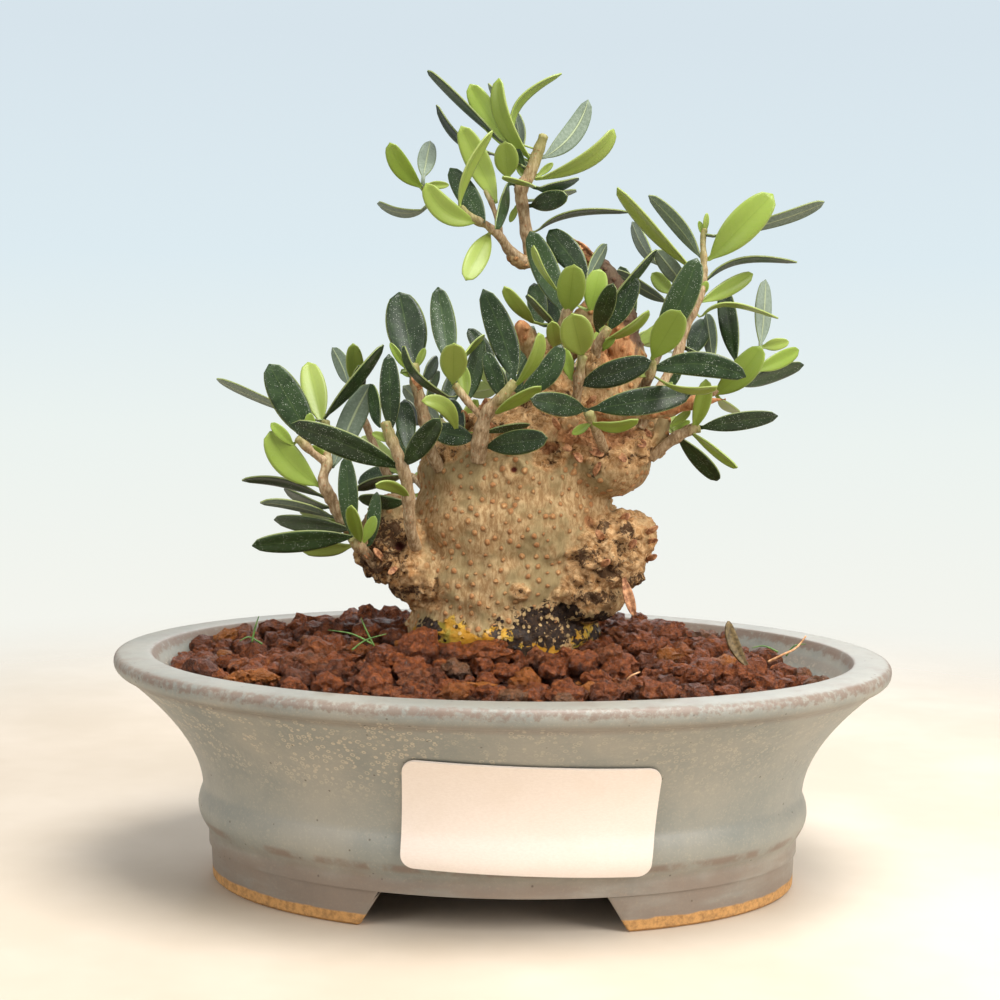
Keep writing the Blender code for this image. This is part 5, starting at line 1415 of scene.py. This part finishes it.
def makeTwigs(shoots, finish):
    bm = bmesh.new()
    tipLayer = bm.verts.layers.float.new("tip")
    for _, paths, (thick, thin), leaves in shoots:
        for number, path in enumerate(paths):
            count = len(path)
            if number == 0:
                radii = [(thick + (thin - thick) * k / (count - 1)) / 2 * mm for k in range(count)]
            else:
                radii = [thin / 2 * mm * (1 - 0.25 * k / count) for k in range(count)]
            fine, sizes = smoothPath(path, radii, 9)
            swollen = []
            for place, size in zip(fine, sizes):
                node = max([math.exp(-((leaf.root - place).length / mm) ** 2) for leaf in leaves],
                           default=0)
                rough = noise.noise(place / (2.2 * mm))
                swollen.append(size * (0.92 + 0.24 * node + 0.16 * rough))
            swollen[-1] *= 0.55
            tips = [k / (len(fine) - 1) for k in range(len(fine))]
            for vert in addTube(bm, fine, swollen, 12, {tipLayer: tips}):
                vert.co += noise.noise_vector(vert.co / (1.3 * mm)) * 0.10 * mm
    bmesh.ops.recalc_face_normals(bm, faces=bm.faces)
    dress(pieceFrom("leafy_stems", bm, finish), "bark")


green = {
    "dark": paint(24, 42, 15), "blue": paint(46, 66, 34), "fresh": paint(124, 146, 54),
    "lime": paint(144, 160, 76), "rib": paint(92, 112, 60), "youngRib": paint(100, 122, 42),
    "edge": paint(160, 170, 104), "hair": paint(196, 202, 186),
    "silver": paint(92, 106, 88), "silverPale": paint(126, 138, 122),
    "paleFresh": paint(150, 168, 98), "underRib": paint(176, 186, 140),
}


def leafFinish():
    f = Finish("leaf_upper", 0.42, 0.40)
    along, tone = f.read("along"), f.read("tone")
    side = f.math("ABSOLUTE", f.read("across"))
    grown = f.fade(f.read("age"), 0.25, 0.8)
    mottle = f.cloud(2.4, 5, 0.6)
    old = f.blend(f.fade(f.scaled(tone, 0.35, mottle), 0.45, 0.85), green["dark"], green["blue"])
    ripe = f.scaled(tone, 0.75, f.times(mottle, 0.25))
    new = f.blend(f.fade(ripe, 0.1, 0.95), green["fresh"], green["lime"])
    colour = f.over(old, new, grown)
    # side veins slant forward from the midrib
    slant = f.scaled(side, -1.6, f.times(along, 11.0))
    vein = f.math("PINGPONG", f.plus(slant, f.times(mottle, 0.5)), 0.5)
    veinLine = f.fadeOut(vein, 0.0, 0.14)
    colour = f.over(colour, green["rib"], veinLine, 0.05)
    rib = f.fadeOut(side, 0.012, 0.05)
    colour = f.over(colour, f.blend(grown, green["rib"], green["youngRib"]), rib, 0.24)
    colour = f.over(colour, green["edge"], f.fade(side, 0.90, 0.99), 0.55)
    # fine pale scales, few on young leaves
    far, own = f.cells(0.27)
    scale = f.times(f.fadeOut(far, 0.18, 0.32), f.fade(f.part(own, "X"), 0.60, 0.66))
    spread = f.scaled(f.fade(f.cloud(3.4, 3), 0.35, 0.65), 0.75, 0.25)
    colour = f.over(colour, green["hair"], f.times(scale, f.scaled(grown, -0.62, 0.72), spread))
    f.relief(rib, 0.10, -0.6)
    f.relief(veinLine, 0.05, -0.4)
    f.relief(f.cloud(0.5, 4, 0.6), 0.035, 0.5)
    f.shader.inputs["Subsurface Weight"].default_value = 0.08
    f.shader.inputs["Subsurface Radius"].default_value = (0.0006, 0.0012, 0.0003)
    return f.finish(colour, f.scaled(mottle, 0.16, 0.32))


def leafUnderFinish():
    f = Finish("leaf_under", 0.62, 0.35)
    felt = f.cloud(0.6, 6, 0.7)
    patches = f.fade(f.scaled(f.read("tone"), 0.4, felt), 0.45, 0.95)
    colour = f.blend(patches, green["silver"], green["silverPale"])
    colour = f.over(colour, green["paleFresh"], f.fade(f.read("age"), 0.25, 0.8))
    side = f.math("ABSOLUTE", f.read("across"))
    rib = f.fadeOut(side, 0.04, 0.11)
    colour = f.over(colour, green["underRib"], rib, 0.5)
    colour = f.over(colour, green["rib"], f.fade(side, 0.88, 0.98), 0.45)
    f.relief(rib, 0.18, 0.8)
    f.relief(felt, 0.04, 0.5)
    return f.finish(colour)


def twigFinish():
    f = Finish("twig_bark", 0.62, 0.4)
    grain = f.cloud(0.9, 6, 0.65, f.stretched(1.6, 1.6, 0.45))
    colour = f.ramp(grain, (0.30, paint(104, 78, 52)), (0.48, paint(148, 122, 88)),
                    (0.68, paint(190, 170, 138)))
    colour = f.over(colour, paint(128, 136, 70), f.fade(f.read("tip"), 0.55, 1.0), 0.6)
    spot = f.fadeOut(f.cells(1.1)[0], 0.14, 0.24)
    colour = f.over(colour, paint(168, 108, 68), spot, 0.5)
    f.relief(grain, 0.12, 0.7)
    f.relief(spot, 0.10, 0.6)
    return f.finish(colour)


# Soil

earth = {
    # grains: how many tries, least and greatest half width, how far apart, fineness of the shape and
    # how far, in half widths, the middle stands above the soil
    "lumps": (1500, 2.1, 3.6, 0.86, 3, 0.45),
    "crumbs": (1900, 1.0, 1.9, 0.85, 2, 0.2),
    "grit": (2000, 0.45, 0.85, 0.9, 1, 0.2),
    "room": 8.7,  # from the rim's edge
    "cell": 7.0,  # of the grid that finds neighbours
    "lowest": 35.0, "lowestSeen": 36.0, "above": 90.0, "barkReach": 10.0,
    # the big lumps in the picture: x and y, half width and half height there, tone
    "seen": [
        (228, 642, 17, 12, 0.95), (255, 668, 15, 11, 0.7), (275, 660, 14, 11, 0.5),
        (262, 680, 20, 9, 0.93), (305, 668, 24, 18, 0.6), (338, 666, 16, 12, 0.75),
        (355, 651, 13, 9, 0.9), (372, 680, 18, 14, 0.65), (394, 664, 18, 12, 0.55),
        (421, 650, 20, 22, 0.8), (416, 684, 18, 14, 0.6), (455, 670, 14, 11, 0.62),
        (480, 656, 34, 14, 0.88), (448, 690, 16, 10, 0.5), (486, 692, 28, 8, 0.99),
        (507, 676, 15, 12, 0.5), (335, 634, 22, 14, 0.1), (300, 632, 16, 11, 0.3),
        (272, 630, 15, 9, 0.2), (205, 655, 13, 10, 0.4), (632, 612, 17, 13, 0.3),
        (664, 633, 19, 12, 0.5), (696, 629, 12, 8, 0.02), (615, 640, 15, 12, 0.6),
        (637, 652, 22, 17, 0.7), (603, 661, 21, 15, 0.6), (681, 657, 22, 11, 0.9),
        (708, 650, 20, 12, 0.6), (694, 681, 17, 12, 0.7), (735, 680, 20, 15, 0.8),
        (555, 674, 18, 15, 0.7), (538, 660, 14, 11, 0.6), (565, 658, 11, 10, 0.4),
        (621, 690, 18, 11, 0.64), (597, 682, 16, 12, 0.7), (538, 692, 14, 9, 0.8),
        (672, 692, 18, 9, 0.5), (576, 693, 17, 9, 0.6), (765, 682, 16, 11, 0.7),
        (786, 684, 16, 9, 0.75), (778, 652, 13, 11, 0.3), (772, 636, 11, 10, 0.35),
        (794, 668, 12, 11, 0.05), (750, 664, 12, 9, 0.4), (672, 672, 16, 9, 0.5),
        (650, 678, 13, 9, 0.4), (246, 650, 14, 10, 0.35), (190, 662, 12, 9, 0.45),
    ],
}


def surfaceOf(piece):
    mesh = piece.data
    return BVHTree.FromPolygons([vert.co[:] for vert in mesh.vertices],
                                [list(face.vertices) for face in mesh.polygons])


# A rough lump with few faces, made once for each size and turned and squeezed for every grain
def grainShape(subdivisions, number):
    bm = bmesh.new()
    bmesh.ops.create_icosphere(bm, subdivisions=subdivisions, radius=1.0)
    shift = Vector((number * 3.7, 1.3 * number, 9.1))
    for vert in bm.verts:
        vert.co *= 1 + sum(high * noise.noise(vert.co * often + shift)
                           for high, often in ((0.42, 1.1), (0.26, 2.6), (0.14, 6.0)))
    mesh = bpy.data.meshes.new("grain")
    bm.to_mesh(mesh)
    bm.free()
    return mesh


# Sets one grain into the mesh, turned and squeezed by the draw
def addGrain(bm, shape, place, halves, draw, tones, tone):
    squeeze = Matrix.Diagonal((*halves, 1))
    spin, roll = [Matrix.Rotation(draw.uniform(0, 6.28), 4, axis) for axis in "ZX"]
    tilt = Matrix.Rotation(draw.uniform(-0.4, 0.4), 4, "Y")
    pose = Matrix.Translation(place) @ tilt @ squeeze @ (spin @ roll)
    shape.transform(pose)
    bm.from_mesh(shape)
    shape.transform(pose.inverted())
    tones += [(tone, place.z, halves[2])] * len(shape.vertices)


def finishGrains(name, bm, tones, knobs, finish):
    tone, up = bm.verts.layers.float.new("tone"), bm.verts.layers.float.new("up")
    for vert, (value, middle, half) in zip(bm.verts, tones):
        vert.co += noise.noise_vector(vert.co / (1.5 * mm)) * knobs * mm
        vert.co += noise.noise_vector(vert.co / (0.7 * mm)) * 0.35 * knobs * mm
        vert[tone] = value
        # up is the height within each grain, which the finish turns into painted shade low down
        vert[up] = (vert.co.z - middle) / half
    bmesh.ops.recalc_face_normals(bm, faces=bm.faces)
    piece = pieceFrom("soil_" + name, bm, finish)
    piece.data.set_sharp_from_angle(angle=math.radians(38))
    dress(piece, "earth")


# The big lumps that the picture shows, each where its line of sight meets the soil
def seenGrains(ground, laid, finish):
    draw = random.Random("seen")
    shapes = [grainShape(4, number) for number in range(9)]
    bm = bmesh.new()
    tones = []
    for x, y, wide, high, tone in earth["seen"]:
        line = (sight(x, y + 0.55 * high, 0) - eyePlace()).normalized()
        hit = ground.ray_cast(eyePlace(), line)[0]
        if hit is None or hit.z < earth["lowestSeen"] * mm:
            continue
        grain = (hit - eyePlace()).length / eye["focal"]
        halves = (wide * grain, (0.4 * wide + 0.6 * high) * grain, high * grain)
        place = hit + Vector((0, 0, 0.5 * halves[2]))
        addGrain(bm, shapes[len(laid) % len(shapes)], place, halves, draw, tones, tone)
        laid.append((place, 0.85 * sum(halves) / 3))
    finishGrains("stones", bm, tones, 0.55, finish)


def spreadGrains(name, ground, wood, laid, finish):
    tries, least, most, crowd, fineness, proud = earth[name]
    draw = random.Random(name)
    shapes = [grainShape(fineness, number) for number in range(7)]
    bm = bmesh.new()
    tones = []
    cells = {}

    def cellOf(place):
        return int(place.x // (earth["cell"] * mm)), int(place.y // (earth["cell"] * mm))

    for place, size in laid:
        cells.setdefault(cellOf(place), []).append((place, size))
    long, wide = [pot[name] / 2 * mm - earth["room"] * mm for name in ("length", "width")]
    for _ in range(tries):
        turn, out = draw.uniform(0, 2 * math.pi), math.sqrt(draw.random())
        size = (least + (most - least) * draw.random() ** 1.3) * mm
        x = out * (pot["length"] / 2 - earth["room"]) * mm * math.cos(turn)
        y = out * (pot["width"] / 2 - earth["room"]) * mm * math.sin(turn)
        if (x / (long - size)) ** 2 + (y / (wide - size)) ** 2 > 1:
            continue
        top = ground.ray_cast(Vector((x, y, earth["above"] * mm)), Vector((0, 0, -1)))[0]
        if top is None or top.z < earth["lowest"] * mm:
            continue
        place = top + Vector((0, 0, proud * size))
        if name == "grit":
            place.z += draw.uniform(-0.1, 0.5) * mm
        bark = wood.find_nearest(place, earth["barkReach"] * mm)[3]
        if bark is not None and bark < 0.75 * size:
            continue
        column, row = cellOf(place)
        around = itertools.product((column - 1, column, column + 1), (row - 1, row, row + 1))
        near = [item for key in around for item in cells.get(key, [])]
        if any((place - other).length < crowd * (size + reach) for other, reach in near):
            continue
        cells.setdefault((column, row), []).append((place, size))
        laid.append((place, size))
        halves = [size * draw.uniform(*span) for span in ((0.85, 1.2), (0.75, 1.1), (0.7, 1.0))]
        addGrain(bm, draw.choice(shapes), place, halves, draw, tones, draw.random())
    finishGrains(name, bm, tones, 0.26 * least, finish)


clay = {
    "deep": paint(34, 13, 4), "brown": paint(108, 54, 20), "red": paint(150, 78, 32),
    "light": paint(208, 140, 82), "ochre": paint(190, 118, 44), "grey": paint(118, 98, 74),
}


def clayFinish(name, toned):
    f = Finish(name, 0.5, 0.4)
    # the same noise makes the relief, so the ramp is partly the clay's own mottle and partly painted
    # shade in the pits and painted glints on the tops
    rough = f.cloud(1.1, 7, 0.72, None, 0.5)
    colour = f.ramp(rough, (0.30, clay["deep"]), (0.44, clay["brown"]), (0.58, clay["red"]),
                    (0.76, clay["light"]))
    if toned:
        tone = f.read("tone")
        colour = f.over(colour, clay["deep"], f.fadeOut(tone, 0.0, 0.4), 0.5)
        colour = f.over(colour, clay["ochre"], f.fade(tone, 0.86, 0.97), 0.55)
        colour = f.over(colour, clay["grey"], f.fadeOut(f.apart(tone, 0.62), 0.0, 0.03), 0.5)
        # painted shade: each grain darkens towards its underside
        colour = f.over(colour, clay["deep"], f.fadeOut(f.read("up"), -0.45, 0.45), 0.8)
    else:
        # painted shade: the bed seen between the grains is made nearly black
        colour = f.over(colour, clay["deep"], 0.88)
    f.relief(rough, 2.2, 1.0)
    f.relief(f.cloud(0.45, 4, 0.75), 0.5, 1.0)
    return f.finish(colour, f.scaled(rough, 0.6, 0.06))


# Grass blades and root threads, as sight points with the half width, and dry scraps
litter = {
    "grass": [
        [(252, 642, -22, 0.22), (255, 628, -22, 0.18), (259, 616, -22, 0.07)],
        [(262, 644, -21, 0.22), (249, 637, -22, 0.16), (240, 641, -23, 0.07)],
        [(372, 644, -20, 0.22), (352, 634, -20, 0.18), (328, 630, -20, 0.07)],
        [(374, 646, -19, 0.22), (366, 630, -19, 0.18), (361, 618, -19, 0.07)],
        [(352, 650, -22, 0.20), (366, 640, -21, 0.16), (386, 634, -20, 0.07)],
        [(778, 652, -8, 0.20), (764, 646, -8, 0.15), (752, 648, -8, 0.07)],
        [(786, 656, -8, 0.20), (794, 646, -8, 0.14), (806, 644, -8, 0.07)],
    ],
    "roots": [
        [(768, 662, -12, 0.26), (782, 655, -12, 0.24), (796, 648, -10, 0.22), (806, 636, -9, 0.18)],
        [(625, 682, -32, 0.22), (631, 676, -33, 0.20), (640, 672, -32, 0.16)],
        [(510, 700, -48, 0.22), (518, 696, -48, 0.20), (526, 694, -47, 0.16)],
    ],
    # dry scraps: x and y of base and tip, depth, width seen
    "scraps": [
        (623, 576, 634, 616, -17.5, 10), (588, 449, 604, 455, -13, 8), (592, 478, 600, 462, -13, 6),
        (572, 240, 592, 256, 1, 9), (584, 246, 570, 254, 0, 7), (481, 420, 486, 398, -18, 7),
        (566, 440, 578, 428, -16, 7), (560, 430, 553, 418, -15, 6), (640, 428, 652, 436, -9, 6),
        (420, 388, 412, 376, -14, 6), (468, 420, 462, 410, -17, 6), (384, 560, 374, 548, -12, 6),
        (586, 404, 596, 396, -18, 6), (645, 534, 658, 526, -8, 6), (648, 541, 658, 540, -8, 5),
        (646, 560, 657, 555, -8, 6), (620, 520, 630, 514, -15, 7), (604, 540, 596, 530, -17, 7),
        (628, 548, 636, 540, -15, 7), (600, 566, 610, 560, -17, 7), (636, 440, 646, 446, -10, 9),
        (618, 452, 626, 462, -12, 7), (574, 452, 582, 462, -14, 7), (560, 444, 572, 450, -14, 7),
        (496, 432, 488, 422, -17, 6), (520, 436, 526, 426, -17, 6), (398, 566, 388, 574, -12, 6),
        (372, 560, 364, 552, -9, 5),
    ],
}


# A row of small dry leaves, as one piece
def makeScraps(name, leaves, wall, draw, finish):
    bm = newLeafMesh()
    for leaf in leaves:
        addLeaf(bm, leaf, draw)
    piece = pieceFrom(name, bm, finish)
    thicken(piece, wall)
    settleModifiers(piece)
    dress(piece, "bark")


def makeLitter(wood, grassTint, rootTint, dryTint, oliveTint):
    for rows, name, slotName, tint in ((litter["grass"], "grass_blades", "fresh_foliage", grassTint),
                                       (litter["roots"], "root_threads", "bark", rootTint)):
        bm = bmesh.new()
        for points in rows:
            addTube(bm, *sightPath(points, 6), 8)
        bmesh.ops.recalc_face_normals(bm, faces=bm.faces)
        dress(pieceFrom(name, bm, tint), slotName)
    draw = random.Random("scraps")

    # each is seated where its line of sight meets the wood
    def scraps():
        for x, y, tipX, tipY, depth, width in litter["scraps"]:
            line = (sight(x, y, 0) - eyePlace()).normalized()
            start = wood.ray_cast(eyePlace(), line)[0] or sight(x, y, depth)
            start += line * 0.5 * mm
            end = sight(tipX, tipY, start.y / mm - 2.0)
            middle = (start + end) / 2 + Vector((0, -0.5 * mm, 0))
            wide = width * (end - eyePlace()).length / eye["focal"]
            yield Leaf("small", start, middle, end, wide, draw.uniform(-0.5, 0.5))

    makeScraps("dry_scraps", scraps(), 0.35, draw, dryTint)
    start, end = sight(749, 668, -14), sight(729, 621, -14)
    middle = start.lerp(end, 0.5) - Vector((1.2 * mm, 0, 0))
    makeScraps("olive_scrap", [Leaf("small", start, middle, end, 2.5 * mm, 0.4)], 0.4, draw, oliveTint)


def plainGrowth(name, first, second, size, rough):
    f = Finish(name, rough, 0.4)
    grain = f.cloud(size, 6, 0.65)
    f.relief(grain, 0.12, 0.6)
    return f.finish(f.blend(f.fade(grain, 0.35, 0.65), first, second))


# Build

setCamera()
makeStudio()
makeFloor()
makePot(glazeFinish())
makeLabel(paperFinish())
for node in ("drain_screen_left", "drain_screen_right"):
    repaint(node, screenFinish())
print("pot ready")

wood = makeTrunk(barkFinish())
print("trunk ready")

shoots = allShoots()
settleLeaves(shoots)
upper, under = leafFinish(), leafUnderFinish()
for shoot in shoots:
    makeLeaves(shoot, upper, under)
makeTwigs(shoots, twigFinish())
print("leaves ready")

repaint("soil", clayFinish("earth_bed_painted_shade", False))
ground = surfaceOf(cadNodes["soil"])
skin = surfaceOf(wood)
grainTint = clayFinish("fired_clay", True)
laid = []
seenGrains(ground, laid, grainTint)
for name in ("lumps", "crumbs", "grit"):
    spreadGrains(name, ground, skin, laid, grainTint)
makeLitter(skin, plainGrowth("grass_green", paint(58, 92, 40), paint(100, 132, 62), 1.2, 0.5),
           plainGrowth("root_tan", paint(160, 112, 72), paint(210, 164, 120), 0.8, 0.7),
           plainGrowth("dry_brown", paint(122, 74, 44), paint(200, 146, 102), 0.9, 0.6),
           plainGrowth("dry_olive", paint(70, 56, 32), paint(122, 102, 66), 0.9, 0.5))
print("soil ready")
